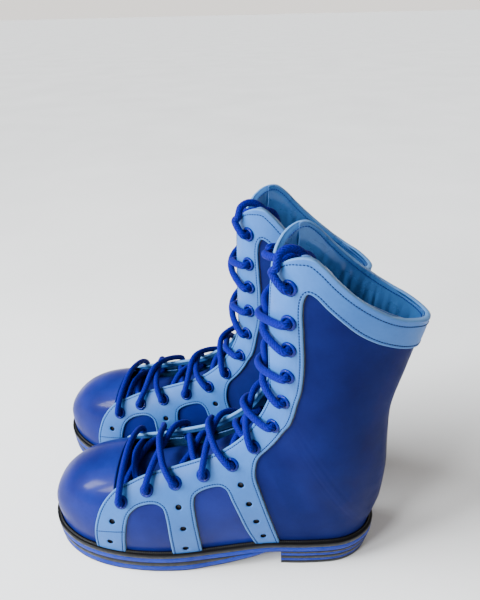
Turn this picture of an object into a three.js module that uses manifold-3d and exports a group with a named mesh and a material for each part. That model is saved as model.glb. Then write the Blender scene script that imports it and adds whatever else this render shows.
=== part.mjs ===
// A pair of high lace-up boxing boots standing side by side, toes to -X, left boot at -Y. Millimetres.
import * as THREE from 'three';
import Module from 'manifold-3d';

const wasm = await Module();
wasm.setup();

// ---- driving dimensions ----
const GAP = 0.3; // clearance between neighbouring pieces
const LEATHER = 1.5; // vamp and quarters
const OVERLAY = 1.6; // pale straps, facing and collar
const LINING = 1.3;
const STIFFENER = 0.9; // counter, toe puff and eyelet tape
const TONGUE = 2.2;
const EYELET_BORE = 3.3;
const EYELET_BARREL = 3.9;
const EYELET_FLANGE = 6.0;
const EYELET_HOLE = 5.75; // half diagonal of the square hole in the overlay
const EYELET_MARGIN = 6.2; // the leather behind stops this far from each eyelet's centre
const LACE_RADIUS = 2.0;
const AGLET = 18;
const WELT = 4.5;
const WELT_WIDTH = 4.2;
const MIDSOLE = 5.8;
const OUTSOLE = 1.8;
const HEEL_LIFTS = [3.9, 4.0, 5.8, 3.8]; // from the midsole down, the top lift takes the rest
const HEEL_FRONT = 9.4; // station of the heel breast
const WAIST_END = 8.9; // station where the forefoot layers run out
const FAR_BOOT = { x: -27.6, y: 97, turn: -7.5 }; // right boot beside the left one
const PAIR_CENTRE = { x: -6.28, y: 52.89 }; // middle of the pair on the floor

const COLOURS = {
  upper: 0x22368f,
  overlay: 0x9cc0e2,
  lining: 0x5fa6dc,
  black: 0x17161a,
  sole: 0x1f57d6,
  lace: 0x1a36c8,
  eyelet: 0x2546b8,
  cork: 0xa8825a,
  board: 0xb79a72,
  steel: 0x9a9da3,
};

// ---- smooth interpolation through [position, value...] stations ----
function smooth(stations, at, column = 1) {
  const n = stations.length;
  const x = (i) => stations[i][0];
  const y = (i) => stations[i][column];
  const q = Math.min(Math.max(at, x(0)), x(n - 1));
  let i = 0;
  while (i < n - 2 && q > x(i + 1)) i += 1;
  const slope = (a) => (y(a + 1) - y(a)) / (x(a + 1) - x(a));
  const tangent = (a) => {
    if (a === 0) return slope(0);
    if (a === n - 1) return slope(n - 2);
    const before = slope(a - 1);
    const after = slope(a);
    return before * after <= 0 ? 0 : (2 * before * after) / (before + after);
  };
  const h = x(i + 1) - x(i);
  const s = (q - x(i)) / h;
  return y(i) * (1 + 2 * s) * (1 - s) ** 2 + tangent(i) * h * s * (1 - s) ** 2
    + y(i + 1) * s * s * (3 - 2 * s) - tangent(i + 1) * h * s * s * (1 - s);
}

// ---- shape of the boot: [station, x, z, fullness at the front, fullness at the back] ----
const FRONT_LINE = [
  [0, -146, 32, 0, 0], [1, -147.5, 44, 11, 9], [2, -143, 60, 22, 19], [3, -130, 75, 29, 28],
  [4, -107, 87, 32.5, 38], [6, -50, 102, 33.5, 46], [8, 4, 124, 30, 52], [10, 36, 155, 32, 63],
  [12, 48, 189, 46, 54], [14, 49.5, 222, 58, 40], [20, 50.5, 318, 58, 33],
];
// feather line where the upper meets the sole: [station, x, lateral half width, medial half width]
const FEATHER = [
  [0, -146, 0, 0], [1, -143.5, 14, 14], [2, -135, 27, 27], [3, -120, 37, 37], [4, -101, 43.5, 43.5],
  [5, -78, 47, 46], [6, -52, 48, 45], [7, -24, 46, 40], [8, 10, 41, 34], [9, 48, 36.5, 32.5],
  [10, 86, 34.5, 33.5], [11, 117, 29.5, 29.5], [12, 136, 17, 17], [13, 142.5, 0, 0],
];
const BACK_RISE = [[13, 33.5], [14, 60], [15, 95], [16, 130], [17, 165], [18, 200], [19, 235], [20, 265]];
const BACK_LINE = [[33.5, 142.5], [60, 149.5], [95, 150.5], [130, 148], [160, 146.5], [200, 153], [270, 166]];
const SOLE_TOP = [[-150, 33], [-110, 27], [-70, 25], [-40, 25], [0, 27], [60, 33], [80, 33.5], [150, 33.5]];
const SOLE_BOTTOM = [[-150, 8], [-110, 2], [-75, 0], [-30, 0], [5, 4], [35, 13], [60, 22.5], [150, 23.4]];

function feather(k, side) {
  const column = side < 0 ? 2 : 3;
  const i = Math.min(Math.floor(k), 12);
  const s = k - i;
  const at = (j, c) => {
    const m = Math.min(Math.max(j, -j), 26 - j);
    return FEATHER[m][c] * (c > 1 && (j < 0 || j > 13) ? -1 : 1);
  };
  const spline = (c) => {
    const [p0, p1, p2, p3] = [at(i - 1, c), at(i, c), at(i + 1, c), at(i + 2, c)];
    return 0.5 * (2 * p1 + (p2 - p0) * s + (2 * p0 - 5 * p1 + 4 * p2 - p3) * s * s
      + (3 * p1 - p0 - 3 * p2 + p3) * s ** 3);
  };
  return [spline(1), spline(column)];
}

function featherNormal(k, side) {
  const a = feather(Math.max(k - 0.001, 0), side);
  const b = feather(Math.min(k + 0.001, 13), side);
  const length = Math.hypot(b[0] - a[0], b[1] - a[1]);
  return [(a[1] - b[1]) / length, (b[0] - a[0]) / length];
}

// point on the outer face of the boot: k runs from the toe over the instep to the collar,
// t from the front line round to the sole or the back line
function surface(k, t, side) {
  const column = (c) => smooth(FRONT_LINE, k, c);
  const top = [column(1), column(2)];
  let foot;
  let normal;
  if (k <= 13) {
    const s = Math.max(k - 12, 0);
    const f = Math.min(k > 12 ? 12 + s + s * s - s ** 3 : k, 13);
    const [x, w] = feather(f, side);
    foot = [x, w, smooth(SOLE_TOP, x)];
    normal = featherNormal(f, side);
  } else {
    const s = 1 - Math.min(k - 13, 1);
    const z = smooth(BACK_RISE, k < 14 ? 14 - s - s * s + s ** 3 : k);
    foot = [smooth(BACK_LINE, z), 0, z];
    normal = [1, 0];
  }
  const lean = [top[0] - foot[0], top[1] - foot[2]];
  const length = Math.hypot(lean[0], lean[1]) || 1;
  const [ex, ez] = length > 1e-6 ? [lean[0] / length, lean[1] / length] : [0, 1];
  const rise = new THREE.Vector3(ex * normal[1], -ex * normal[0], ez * normal[1]);
  rise.normalize();
  rise.x += 0.06 * normal[0] * normal[1];
  rise.y += 0.06 * normal[1] * normal[1];
  const a = column(3);
  const b = column(4);
  const w0 = (1 - t) ** 3;
  const w1 = 3 * t * (1 - t) ** 2;
  const w2 = 3 * t * t * (1 - t);
  const w3 = t ** 3;
  return new THREE.Vector3(
    top[0] * (w0 + w1) + (foot[0] + b * rise.x) * w2 + foot[0] * w3,
    side * (a * w1 + (foot[1] + b * rise.y) * w2 + foot[1] * w3),
    top[1] * (w0 + w1) + (foot[2] + b * rise.z) * w2 + foot[2] * w3,
  );
}

function outward(k, t, side) {
  if (k < 0.01) return new THREE.Vector3(-1, 0, 0);
  const e = 0.004;
  const [k0, k1, t0, t1] = [Math.max(k - e, 0), Math.min(k + e, 20), Math.max(t - e, 0), Math.min(t + e, 1)];
  const along = surface(k1, t, side).sub(surface(k0, t, side));
  const round = surface(k, t1, side).sub(surface(k, t0, side));
  const n = side < 0 ? round.cross(along) : along.cross(round);
  if (Math.abs(surface(k, t, side).y) < 1e-4) n.y = 0;
  return n.normalize();
}

function lifted(k, t, side, height) {
  return surface(k, t, side).addScaledVector(outward(k, t, side), height);
}

// ---- pattern on that surface ----
const EYELETS = [5.22, 6.0, 6.84, 7.7, 8.73, 9.75, 11.3, 13.25, 14.7, 15.96, 17.04, 18.34];
const EYELET_LINE = [[5.22, 0.507], [6, 0.417], [7.7, 0.386], [8.73, 0.383], [9.75, 0.33], [11.3, 0.273],
  [13.25, 0.24], [16, 0.25], [18.34, 0.23]];
const FACING_EDGE = [[4.98, 0.39], [5.28, 0.343], [5.9, 0.273], [6.7, 0.248], [8.4, 0.241], [10, 0.193],
  [12, 0.145], [13.5, 0.105], [17.5, 0.09], [18.3, 0.121], [19, 0.17]];
const BAND_EDGE = [[4.5, 0.6], [5.48, 0.62], [6.06, 0.541], [6.5, 0.592], [7.4, 0.57], [7.99, 0.502],
  [8.41, 0.54], [9.3, 0.48], [9.71, 0.419], [10.4, 0.375], [11.7, 0.322], [13.7, 0.303], [16.2, 0.331],
  [18.3, 0.301], [20, 0.31]];
const FRONT_EDGE = [[0.39, 4.98], [0.453, 4.78], [0.561, 4.54], [0.692, 4.35], [0.82, 4.2], [1, 4.07]];
const COLLAR_EDGE = [[0.1, 18.3], [0.17, 18.98], [0.225, 19.42], [0.3, 19.85], [0.367, 19.78], [0.422, 19.58],
  [0.548, 19.32], [0.722, 19.3], [1, 19.43]];
const COLLAR_START = 17.5; // above this station the columns lean towards the collar's edge
const THROAT = 4.95; // the vamp closes over the foot in front of this station
const STRAPS = [[4.5, 4.07, 5.48, 5.2], [6.5, 6.75, 7.42, 7.55], [8.41, 8.8, 9.5, 9.35]];
const ROWS = 8; // across each side: four rows on the facing, four below

// how far t moves for a step of that many millimetres round the boot
function stepRound(k, t, side, step) {
  const e = 0.01;
  const round = surface(k, t + e, side).sub(surface(k, t - e, side)).divideScalar(2 * e);
  const along = surface(k + e, t, side).sub(surface(k - e, t, side)).normalize();
  return step / round.sub(along.multiplyScalar(round.dot(along))).length();
}

// a column is {band, foot}: its station on the facing and at the sole or the back
function node(column, row, side) {
  const k = column.band;
  const eye = smooth(EYELET_LINE, k);
  const half = stepRound(Math.max(k, 5), eye, side, EYELET_MARGIN);
  const facing = [0, smooth(FACING_EDGE, k), eye - half, eye + half,
    Math.max(smooth(BAND_EDGE, k), eye + half + 0.02)];
  const below = [0, 0.29, 0.56, 0.8, 1];
  const drop = row > 4 ? below[row - 4] : 0;
  let t = row <= 4 ? facing[row] : facing[4] + (1 - facing[4]) * drop;
  if (k < 5) t += (row / ROWS - t) * Math.min(Math.max((5 - k) / 2.2, 0), 1);
  let station = k + (column.foot - k) * drop;
  if (column.front) station = smooth(FRONT_EDGE, t);
  if (k > COLLAR_START) {
    const share = (k - COLLAR_START) / (20 - COLLAR_START);
    station = COLLAR_START + (smooth(COLLAR_EDGE, t) - COLLAR_START) * share;
  }
  return [station, t];
}

function column(band, foot = band, front = false) {
  return { band, foot, front };
}

const footStation = (k) => k + smooth([[0, 0], [4.5, -0.43], [5.48, -0.28], [6.5, 0.25], [7.42, 0.13],
  [8.41, 0.39], [9.5, -0.15], [11, 0], [20, 0]], k);

const SEAM = 9.0; // station where the vamp meets the quarters
const shaftStations = [10.1, 10.7, 11.3, 12.2, 13.2, 14.5, 16, COLLAR_START, 19.0, 20];
const strapStations = [5.48, 6.5, 7.42, 8.41, 9.5];
const windowStations = [5.0, 5.75, 6.06, 6.3, 7.7, 8.05];
const inOrder = (a, b) => a - b;
const stations = [...strapStations, SEAM, ...shaftStations].sort(inOrder);
const bandStations = [...strapStations, ...windowStations, ...shaftStations].sort(inOrder);
const toeColumns = [0, 0.5, 1.1, 1.8, 2.6, 3.5].map((k) => column(k));
const upperColumns = [...toeColumns, column(4.4, 4.1), column(THROAT, 4.6),
  ...stations.map((k) => column(k, footStation(k)))];
const bandColumns = [column(4.5, 4.07, true), ...bandStations.map((k) => column(k, footStation(k)))];

function material(name, roughness, metalness = 0) {
  return new THREE.MeshStandardMaterial({ color: COLOURS[name], roughness, metalness });
}

function meshFrom(name, positions, triangles, look) {
  const geometry = new THREE.BufferGeometry();
  geometry.setAttribute('position', new THREE.Float32BufferAttribute(positions.flat(), 3));
  geometry.setIndex(triangles.flat());
  geometry.computeVertexNormals();
  const mesh = new THREE.Mesh(geometry, look);
  mesh.name = name;
  return mesh;
}

// closes a set of patches, each [side, column, next column, row], between two heights above the surface
function sheet(patches, low, high, tweak = () => 0) {
  const index = new Map();
  const nodes = [];
  const vertex = (side, col, row) => {
    const [k, t] = node(col, row, side);
    const p = surface(k, t, side);
    if (Math.abs(p.y) < 1e-4) p.y = 0;
    const key = [p.x, p.y, p.z].map((v) => v.toFixed(3)).join();
    if (!index.has(key)) {
      index.set(key, nodes.length);
      nodes.push({ k, t, side, p, n: outward(k, t, side) });
    }
    return index.get(key);
  };
  const faces = [];
  const loose = new Map();
  for (const [side, c0, c1, row] of patches) {
    const corners = [[c0, row], [c1, row], [c1, row + 1], [c0, row + 1]];
    let quad = corners.map(([c, r]) => vertex(side, c, r));
    if (side > 0) quad = quad.reverse();
    quad = quad.filter((v, i) => v !== quad[(i + 1) % quad.length]);
    for (let i = 1; i + 1 < quad.length; i += 1) faces.push([quad[0], quad[i], quad[i + 1]]);
    quad.forEach((v, i) => {
      const w = quad[(i + 1) % quad.length];
      if (!loose.delete(`${w},${v}`)) loose.set(`${v},${w}`, [v, w]);
    });
  }
  const n = nodes.length;
  const place = (height) => nodes.map((v) => {
    const q = v.p.clone().addScaledVector(v.n, height + tweak(v));
    return [q.x, q.y, q.z];
  });
  const points = [...place(high), ...place(low)];
  const triangles = [...faces, ...faces.map(([a, b, c]) => [a + n, c + n, b + n])];
  for (const [v, w] of loose.values()) triangles.push([w, v, v + n], [w, v + n, w + n]);
  return { points, triangles };
}

function outwardFacing({ points, triangles }) {
  let volume = 0;
  for (const [a, b, c] of triangles) {
    const [p, q, r] = [a, b, c].map((i) => new THREE.Vector3(...points[i]));
    volume += p.dot(q.cross(r));
  }
  return volume < 0 ? { points, triangles: triangles.map(([a, b, c]) => [a, c, b]) } : { points, triangles };
}

// pieces that stop at the back seam keep half a clearance from it
function offSeam(body, side) {
  const points = body.points.map(([x, y, z]) => [x, side * Math.max(side * y, GAP / 2 + 0.05), z]);
  return { points, triangles: body.triangles };
}

function patchGrid(columns, sides, keep) {
  const patches = [];
  for (const side of sides) {
    for (let j = 0; j + 1 < columns.length; j += 1) {
      for (let row = 0; row < ROWS; row += 1) {
        const [here, next] = [columns[j], columns[j + 1]];
        if (keep(here.band, next.band, row)) patches.push([side, here, next, row]);
      }
    }
  }
  return patches;
}

const onStrap = (k0, k1) => STRAPS.some((s) => k0 > s[0] - 0.01 && k1 < s[2] + 0.01);

// ---- solids from surfaces of revolution, joined and cut ----
function toManifold({ points, triangles }) {
  const solid = new wasm.Manifold(new wasm.Mesh({
    numProp: 3,
    vertProperties: Float32Array.from(points.flat()),
    triVerts: Uint32Array.from(triangles.flat()),
  }));
  return solid;
}

function fromManifold(solid) {
  const { vertProperties, triVerts } = solid.getMesh();
  const points = [];
  for (let i = 0; i < vertProperties.length; i += 3) points.push(Array.from(vertProperties.slice(i, i + 3)));
  const triangles = [];
  for (let i = 0; i < triVerts.length; i += 3) triangles.push(Array.from(triVerts.slice(i, i + 3)));
  return { points, triangles };
}

function turned(profile, origin, axis, sides = 6) {
  const frame = new THREE.Quaternion().setFromUnitVectors(new THREE.Vector3(0, 0, 1), axis);
  const count = ([radius]) => (radius === 0 ? 1 : sides);
  const points = [];
  for (const [r, z] of profile) {
    for (let i = 0; i < count([r]); i += 1) {
      const angle = (2 * Math.PI * i) / sides;
      const p = new THREE.Vector3(r * Math.cos(angle), r * Math.sin(angle), z);
      p.applyQuaternion(frame).add(origin);
      points.push([p.x, p.y, p.z]);
    }
  }
  const start = profile.map((_, i) => profile.slice(0, i).reduce((sum, ring) => sum + count(ring), 0));
  const triangles = [];
  for (let i = 0; i + 1 < profile.length; i += 1) {
    for (let j = 0; j < sides; j += 1) {
      const next = (j + 1) % sides;
      const [a, b] = [start[i], start[i + 1]];
      if (profile[i][0] === 0) triangles.push([a, b + next, b + j]);
      else if (profile[i + 1][0] === 0) triangles.push([a + j, a + next, b]);
      else triangles.push([a + j, a + next, b + next], [a + j, b + next, b + j]);
    }
  }
  return outwardFacing({ points, triangles });
}

const SEAT = GAP + 0.6; // the overlay lies this far above the vamp and quarters
const TAPE = [-LEATHER - GAP - STIFFENER, -LEATHER - GAP];
const INNER = [TAPE[0] - 3 * GAP - LINING, TAPE[0] - 3 * GAP];

function eyeletSites(side) {
  return EYELETS.map((k) => {
    const t = smooth(EYELET_LINE, k);
    return [surface(k, t, side), outward(k, t, side)];
  });
}

function punched(body, side) {
  const hole = [[0, -4], [EYELET_HOLE, -4], [EYELET_HOLE, 6], [0, 6]];
  let solid = toManifold(outwardFacing(body));
  for (const [p, n] of eyeletSites(side)) solid = solid.subtract(toManifold(turned(hole, p, n, 4)));
  return fromManifold(solid);
}

// a row of flanged eyelets, each joined to the next by a short length of tape behind the leather
function eyeletRow(side) {
  const sites = eyeletSites(side);
  const top = SEAT + OVERLAY + GAP;
  const profile = [[EYELET_BORE, TAPE[0]], [EYELET_BARREL, TAPE[0]], [EYELET_BARREL, TAPE[1]],
    [EYELET_BARREL, top], [EYELET_FLANGE, top], [EYELET_BORE, top + 1.4]];
  const points = [];
  const triangles = [];
  const at = (site, level, j) => (site * profile.length + level) * 6 + (j % 6);
  const quad = (a, b, c, d) => triangles.push([a, b, c], [a, c, d]);
  sites.forEach(([p, n], site) => {
    const ahead = sites[Math.min(site + 1, 11)][0].clone().sub(sites[Math.max(site - 1, 0)][0]);
    const along = ahead.addScaledVector(n, -ahead.dot(n)).normalize();
    const across = n.clone().cross(along);
    for (const [r, h] of profile) {
      for (let j = 0; j < 6; j += 1) {
        const angle = (Math.PI * (2 * j - 1)) / 6;
        const v = p.clone().addScaledVector(n, h).addScaledVector(along, r * Math.cos(angle))
          .addScaledVector(across, r * Math.sin(angle));
        points.push([v.x, v.y, v.z]);
      }
    }
    for (let level = 0; level < profile.length; level += 1) {
      const next = (level + 1) % profile.length;
      for (let j = 0; j < 6; j += 1) {
        const open = level === 1 && ((j === 0 && site < 11) || (j === 3 && site > 0));
        if (!open) quad(at(site, level, j), at(site, level, j + 1), at(site, next, j + 1), at(site, next, j));
      }
    }
    if (site < 11) {
      const here = [at(site, 1, 0), at(site, 1, 1), at(site, 2, 1), at(site, 2, 0)];
      const there = [at(site + 1, 1, 4), at(site + 1, 1, 3), at(site + 1, 2, 3), at(site + 1, 2, 4)];
      for (let e = 0; e < 4; e += 1) {
        const f = (e + 1) % 4;
        quad(here[e], here[f], there[f], there[e]);
      }
    }
  });
  return outwardFacing({ points, triangles });
}

// ---- sole layers: slabs between two heights inside an outline a set distance outside the feather line ----
const SOLE_STATIONS = [0, 0.5, 1, 1.5, 2, 3, 4, 5, 6, 7, 8, 8.9, 9.4, 10.2, 11, 11.5, 12, 12.5, 13];

function outlinePoint(k, side, out) {
  const [x, w] = feather(k, side);
  const [nx, nw] = featherNormal(k, side);
  return [x + nx * out, side * Math.max(w + nw * out, 0)];
}

function slab(from, to, outTop, outBottom, zTop, zBottom) {
  const stations = [from, ...SOLE_STATIONS.filter((k) => k > from + 0.01 && k < to - 0.01), to];
  const points = [];
  const ring = (out, z) => stations.map((k) => {
    const pair = [-1, 1].map((side) => {
      const [x, y] = outlinePoint(k, side, out);
      points.push([x, y, z(feather(k, side)[0])]);
      return points.length - 1;
    });
    if (k === 0 || k === 13) {
      points.pop();
      points[pair[0]][1] = 0;
      pair[1] = pair[0];
    }
    return pair;
  });
  const top = ring(outTop, zTop);
  const bottom = ring(outBottom, zBottom);
  const triangles = [];
  const quad = (a, b, c, d) => {
    const loop = [a, b, c, d].filter((v, i, all) => v !== all[(i + 1) % all.length]);
    for (let i = 1; i + 1 < loop.length; i += 1) triangles.push([loop[0], loop[i], loop[i + 1]]);
  };
  for (let j = 0; j + 1 < stations.length; j += 1) {
    quad(top[j][0], top[j + 1][0], top[j + 1][1], top[j][1]);
    quad(bottom[j][1], bottom[j + 1][1], bottom[j + 1][0], bottom[j][0]);
    quad(bottom[j][0], bottom[j + 1][0], top[j + 1][0], top[j][0]);
    quad(top[j][1], top[j + 1][1], bottom[j + 1][1], bottom[j][1]);
  }
  const end = stations.length - 1;
  if (from > 0) quad(bottom[0][0], top[0][0], top[0][1], bottom[0][1]);
  if (to < 13) quad(top[end][0], bottom[end][0], bottom[end][1], top[end][1]);
  return outwardFacing({ points, triangles });
}

function weltRing() {
  const lateral = SOLE_STATIONS.map((k) => [k, -1]);
  const medial = SOLE_STATIONS.slice(1, -1).reverse().map((k) => [k, 1]);
  const path = [...lateral, ...medial];
  const corners = [[WELT_WIDTH, 0], [WELT_WIDTH, -WELT + GAP], [-5, -WELT + GAP], [-5, -GAP]];
  const points = [];
  for (const [k, side] of path) {
    for (const [out, drop] of corners) {
      const [x, y] = outlinePoint(k, side, out);
      const onEnd = k === 0 || k === 13;
      const [edge] = feather(k, side);
      points.push([x, onEnd ? 0 : y, smooth(SOLE_TOP, edge) + drop - GAP]);
    }
  }
  const triangles = [];
  const n = path.length;
  for (let i = 0; i < n; i += 1) {
    for (let c = 0; c < 4; c += 1) {
      const [a, b] = [i * 4 + c, i * 4 + ((c + 1) % 4)];
      const [d, e] = [((i + 1) % n) * 4 + c, ((i + 1) % n) * 4 + ((c + 1) % 4)];
      triangles.push([a, b, e], [a, e, d]);
    }
  }
  return outwardFacing({ points, triangles });
}

const soleTop = (x) => smooth(SOLE_TOP, x) - GAP;
const underWelt = (x) => soleTop(x) - WELT;
const underMidsole = (x) => underWelt(x) - MIDSOLE;
const ground = (x) => smooth(SOLE_BOTTOM, x);
const forefootRest = (x) => Math.max(underMidsole(x) - ground(x) - OUTSOLE, 1.8);

// ---- lace ----
function laceEye(i, side, height) {
  const t = smooth(EYELET_LINE, EYELETS[i]);
  return lifted(EYELETS[i], t, side, height);
}

// where a strand between two eyelets passes the front line, or the facing's edge on one side
function laceCrossing(first, last, [k0, k1], side, height, share) {
  const seat = (k) => lifted(k, smooth(EYELET_LINE, k), 1, 0);
  const row = seat(k1).sub(seat(k0)).normalize();
  const target = first.clone().lerp(last, share);
  let best;
  for (let n = 0; n <= 120; n += 1) {
    const k = k0 - 4 + ((k1 - k0 + 6) * n) / 120;
    const t = side ? smooth(FACING_EDGE, k) : 0;
    const off = Math.abs(lifted(k, t, side || 1, 0).sub(target).dot(row));
    if (!best || off < best.off) best = { k, t, off };
  }
  return lifted(best.k, best.t, side || 1, height);
}

// from the first eyelet up: outside, through, across inside to the next eyelet, out, across outside
function laceStrand(start) {
  const points = [];
  let side = start;
  const heights = { out: [6.2, 4.4 - start * 2.6], in: [-5.2, -8.2 + start * 2.8] };
  for (let i = 0; i < 12; i += 1) {
    const leaving = i % 2 === 0 ? 'in' : 'out';
    const through = [laceEye(i, side, 7.2), laceEye(i, side, 0.3), laceEye(i, side, -5.6)];
    points.push(...(i % 2 === 0 ? through : through.reverse()));
    if (i < 11) {
      const pair = [EYELETS[i], EYELETS[i + 1]];
      const [atEdge, atMiddle] = heights[leaving];
      const first = points[points.length - 1].clone();
      const last = laceEye(i + 1, -side, atEdge);
      points.push(laceCrossing(first, last, pair, side, atEdge, 0.25),
        laceCrossing(first, last, pair, 0, atMiddle, 0.5),
        laceCrossing(first, last, pair, -side, atEdge, 0.75));
      side = -side;
    }
  }
  return points;
}

// one end goes over its collar corner, the other round the front, both into the shaft; as on the left
// boot, where the first is the lateral end
const CORNER_TAIL = [[54.3, -27.2, 293.2], [56.2, -23, 300.6], [61.6, -19, 303.4], [69, -16, 301],
  [79, -13, 287], [84, -11.3, 248]];
const FRONT_TAIL = [[49.5, 26, 281.5], [46.3, 17.5, 283], [51, 5, 286.5], [59, -2, 290], [69, 1, 291],
  [79, 8, 285], [84, 11.3, 248]];

function tube(name, points, radius, steps, sides, look) {
  const curve = new THREE.CatmullRomCurve3(points, false, 'centripetal');
  let across = new THREE.Vector3(0, 1, 0);
  const vertices = [];
  for (let i = 0; i <= steps; i += 1) {
    const centre = curve.getPoint(i / steps);
    const along = curve.getTangent(i / steps);
    across = across.clone().addScaledVector(along, -across.dot(along)).normalize();
    const third = along.clone().cross(across);
    for (let j = 0; j < sides; j += 1) {
      const a = (2 * Math.PI * j) / sides;
      const p = centre.clone().addScaledVector(across, radius * Math.cos(a))
        .addScaledVector(third, radius * Math.sin(a));
      vertices.push([p.x, p.y, p.z]);
    }
  }
  const triangles = [];
  for (let i = 0; i < steps; i += 1) {
    for (let j = 0; j < sides; j += 1) {
      const next = (j + 1) % sides;
      const [a, b] = [i * sides, (i + 1) * sides];
      triangles.push([a + j, a + next, b + next], [a + j, b + next, b + j]);
    }
  }
  for (let j = 1; j + 1 < sides; j += 1) {
    triangles.push([0, j + 1, j], [steps * sides, steps * sides + j, steps * sides + j + 1]);
  }
  const body = outwardFacing({ points: vertices, triangles });
  return meshFrom(name, body.points, body.triangles, look);
}

// ---- one left boot; the right boot is its mirror image ----
function boot(prefix) {
  const group = new THREE.Group();
  const add = (name, body, look) => {
    const solid = outwardFacing(body);
    group.add(meshFrom(`${prefix}_${name}`, solid.points, solid.triangles, look));
  };
  const leather = material('upper', 0.3);
  const pale = material('overlay', 0.42);
  const rubber = material('black', 0.5);
  const foam = material('sole', 0.55);

  add('welt', weltRing(), rubber);
  const clearOfWelt = (x) => underWelt(x) - GAP;
  add('upper_midsole', slab(0, 13, WELT_WIDTH, WELT_WIDTH - 0.3, clearOfWelt, underMidsole), foam);
  const split = (share) => (x) => underMidsole(x) - GAP - forefootRest(x) * share;
  add('middle_midsole', slab(0, WAIST_END, WELT_WIDTH - 0.3, WELT_WIDTH - 0.6, split(0),
    (x) => split(0.47)(x) + GAP), rubber);
  add('lower_midsole', slab(0, WAIST_END, WELT_WIDTH - 0.6, WELT_WIDTH - 1.2, split(0.47),
    (x) => split(1)(x) + GAP), foam);
  add('outsole', slab(0, WAIST_END, WELT_WIDTH - 1.2, WELT_WIDTH - 2.2, split(1), (x) => Math.min(ground(x),
    split(1)(x) - 1)), rubber);
  let level = 0;
  const heelHeight = underMidsole(100) - GAP;
  const lifts = [...HEEL_LIFTS, heelHeight - HEEL_LIFTS.reduce((a, b) => a + b)];
  const names = ['upper_black', 'upper_blue', 'lower_black', 'lower_blue'].map((name) => `heel_lift_${name}`);
  names.push('top_lift');
  lifts.forEach((thick, i) => {
    const z = heelHeight - level;
    const low = i === lifts.length - 1 ? 0 : z - thick + GAP;
    const out = (height) => WELT_WIDTH - 0.3 - (4.2 * (heelHeight - height)) / heelHeight;
    const top = i ? () => z : (x) => underMidsole(x) - GAP;
    add(names[i], slab(HEEL_FRONT, 13, out(z), out(low), top, () => low), i % 2 ? foam : rubber);
    level += thick;
  });
  const aboveSole = (height) => (x) => soleTop(x) + height;
  const inside = (inset, high, low) => slab(0.5, 12.5, -inset, -inset, high, low);
  add('cork_filler', inside(6, aboveSole(-2.2), (x) => underWelt(x) + GAP), material('cork', 0.9));
  add('insole_board', inside(6.5, aboveSole(2.3), aboveSole(0.2)), material('board', 0.8));
  add('insole_cover', inside(7.5, aboveSole(4.2), aboveSole(2.6)), material('lining', 0.6));
  const shank = new THREE.BoxGeometry(92, 13, 1.2, 5);
  const bend = shank.attributes.position;
  for (let i = 0; i < bend.count; i += 1) {
    const x = bend.getX(i) + 40;
    bend.setXYZ(i, x, bend.getY(i), bend.getZ(i) + soleTop(x) - 1.1);
  }
  const stay = new THREE.Mesh(shank, material('steel', 0.35, 0.9));
  stay.name = `${prefix}_shank`;
  group.add(stay);

  const vampCells = (k0, k1, row) => k1 < SEAM + 0.01 && (k1 < THROAT + 0.01 || row >= 3);
  add('vamp', sheet(patchGrid(upperColumns, [-1, 1], vampCells), -LEATHER, 0), leather);
  for (const [side, name] of [[-1, 'lateral'], [1, 'medial']]) {
    const start = upperColumns.findIndex((c) => c.band === SEAM);
    const columns = upperColumns.slice(start).map((c, i) => (i ? c : column(c.band + 0.03, c.foot + 0.03)));
    const quarter = sheet(patchGrid(columns, [side], (k0, k1, row) => row >= 3), -LEATHER, 0);
    add(`quarter_${name}`, offSeam(quarter, side), leather);
    const overlay = sheet(patchGrid(bandColumns, [side],
      (k0, k1, row) => row > 0 && (row < 4 || onStrap(k0, k1) || k0 > 18.99)), SEAT, SEAT + OVERLAY);
    add(`overlay_${name}`, punched(offSeam(overlay, side), side), pale);
    add(`eyelets_${name}`, eyeletRow(side), material('eyelet', 0.25, 0.6));
  }
  const liningCells = (k0, k1, row) => k0 > 0.4 && (k1 < THROAT + 0.01 || row >= 4);
  const roundHeel = (v) => (v.k > 11 && v.k < 15 && v.t > 0.7 ? -0.6 : 0);
  add('lining', sheet(patchGrid(upperColumns, [-1, 1], liningCells), INNER[0], INNER[1], roundHeel),
    material('lining', 0.45));
  const counterCells = (k0, k1, row) => k0 > 10.4 && k1 < 16.1 && row > 3 && (row < 7 || k0 > 14.4);
  add('heel_counter', sheet(patchGrid(upperColumns, [-1, 1], counterCells), TAPE[0], TAPE[1]),
    material('board', 0.8));
  add('toe_puff', sheet(patchGrid(upperColumns, [-1, 1], (k0, k1) => k0 > 0.4 && k1 < 2.7), TAPE[0], TAPE[1]),
    material('board', 0.8));
  const tongueStations = [4.2, 5, 5.7, 6.6, 7.6, 8.8, 9.8, 10.8, 12, 13.5, 15.2, 17];
  const tongueCells = patchGrid(tongueStations.map((k) => column(k)), [-1, 1], (k0, k1, row) => row < 2);
  const tongueDrop = (v) => -smooth([[4.2, 6], [5, 13], [5.7, 15.5], [20, 15.5]], v.k);
  add('tongue', sheet(tongueCells, -TONGUE, 0, tongueDrop), leather);

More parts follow.
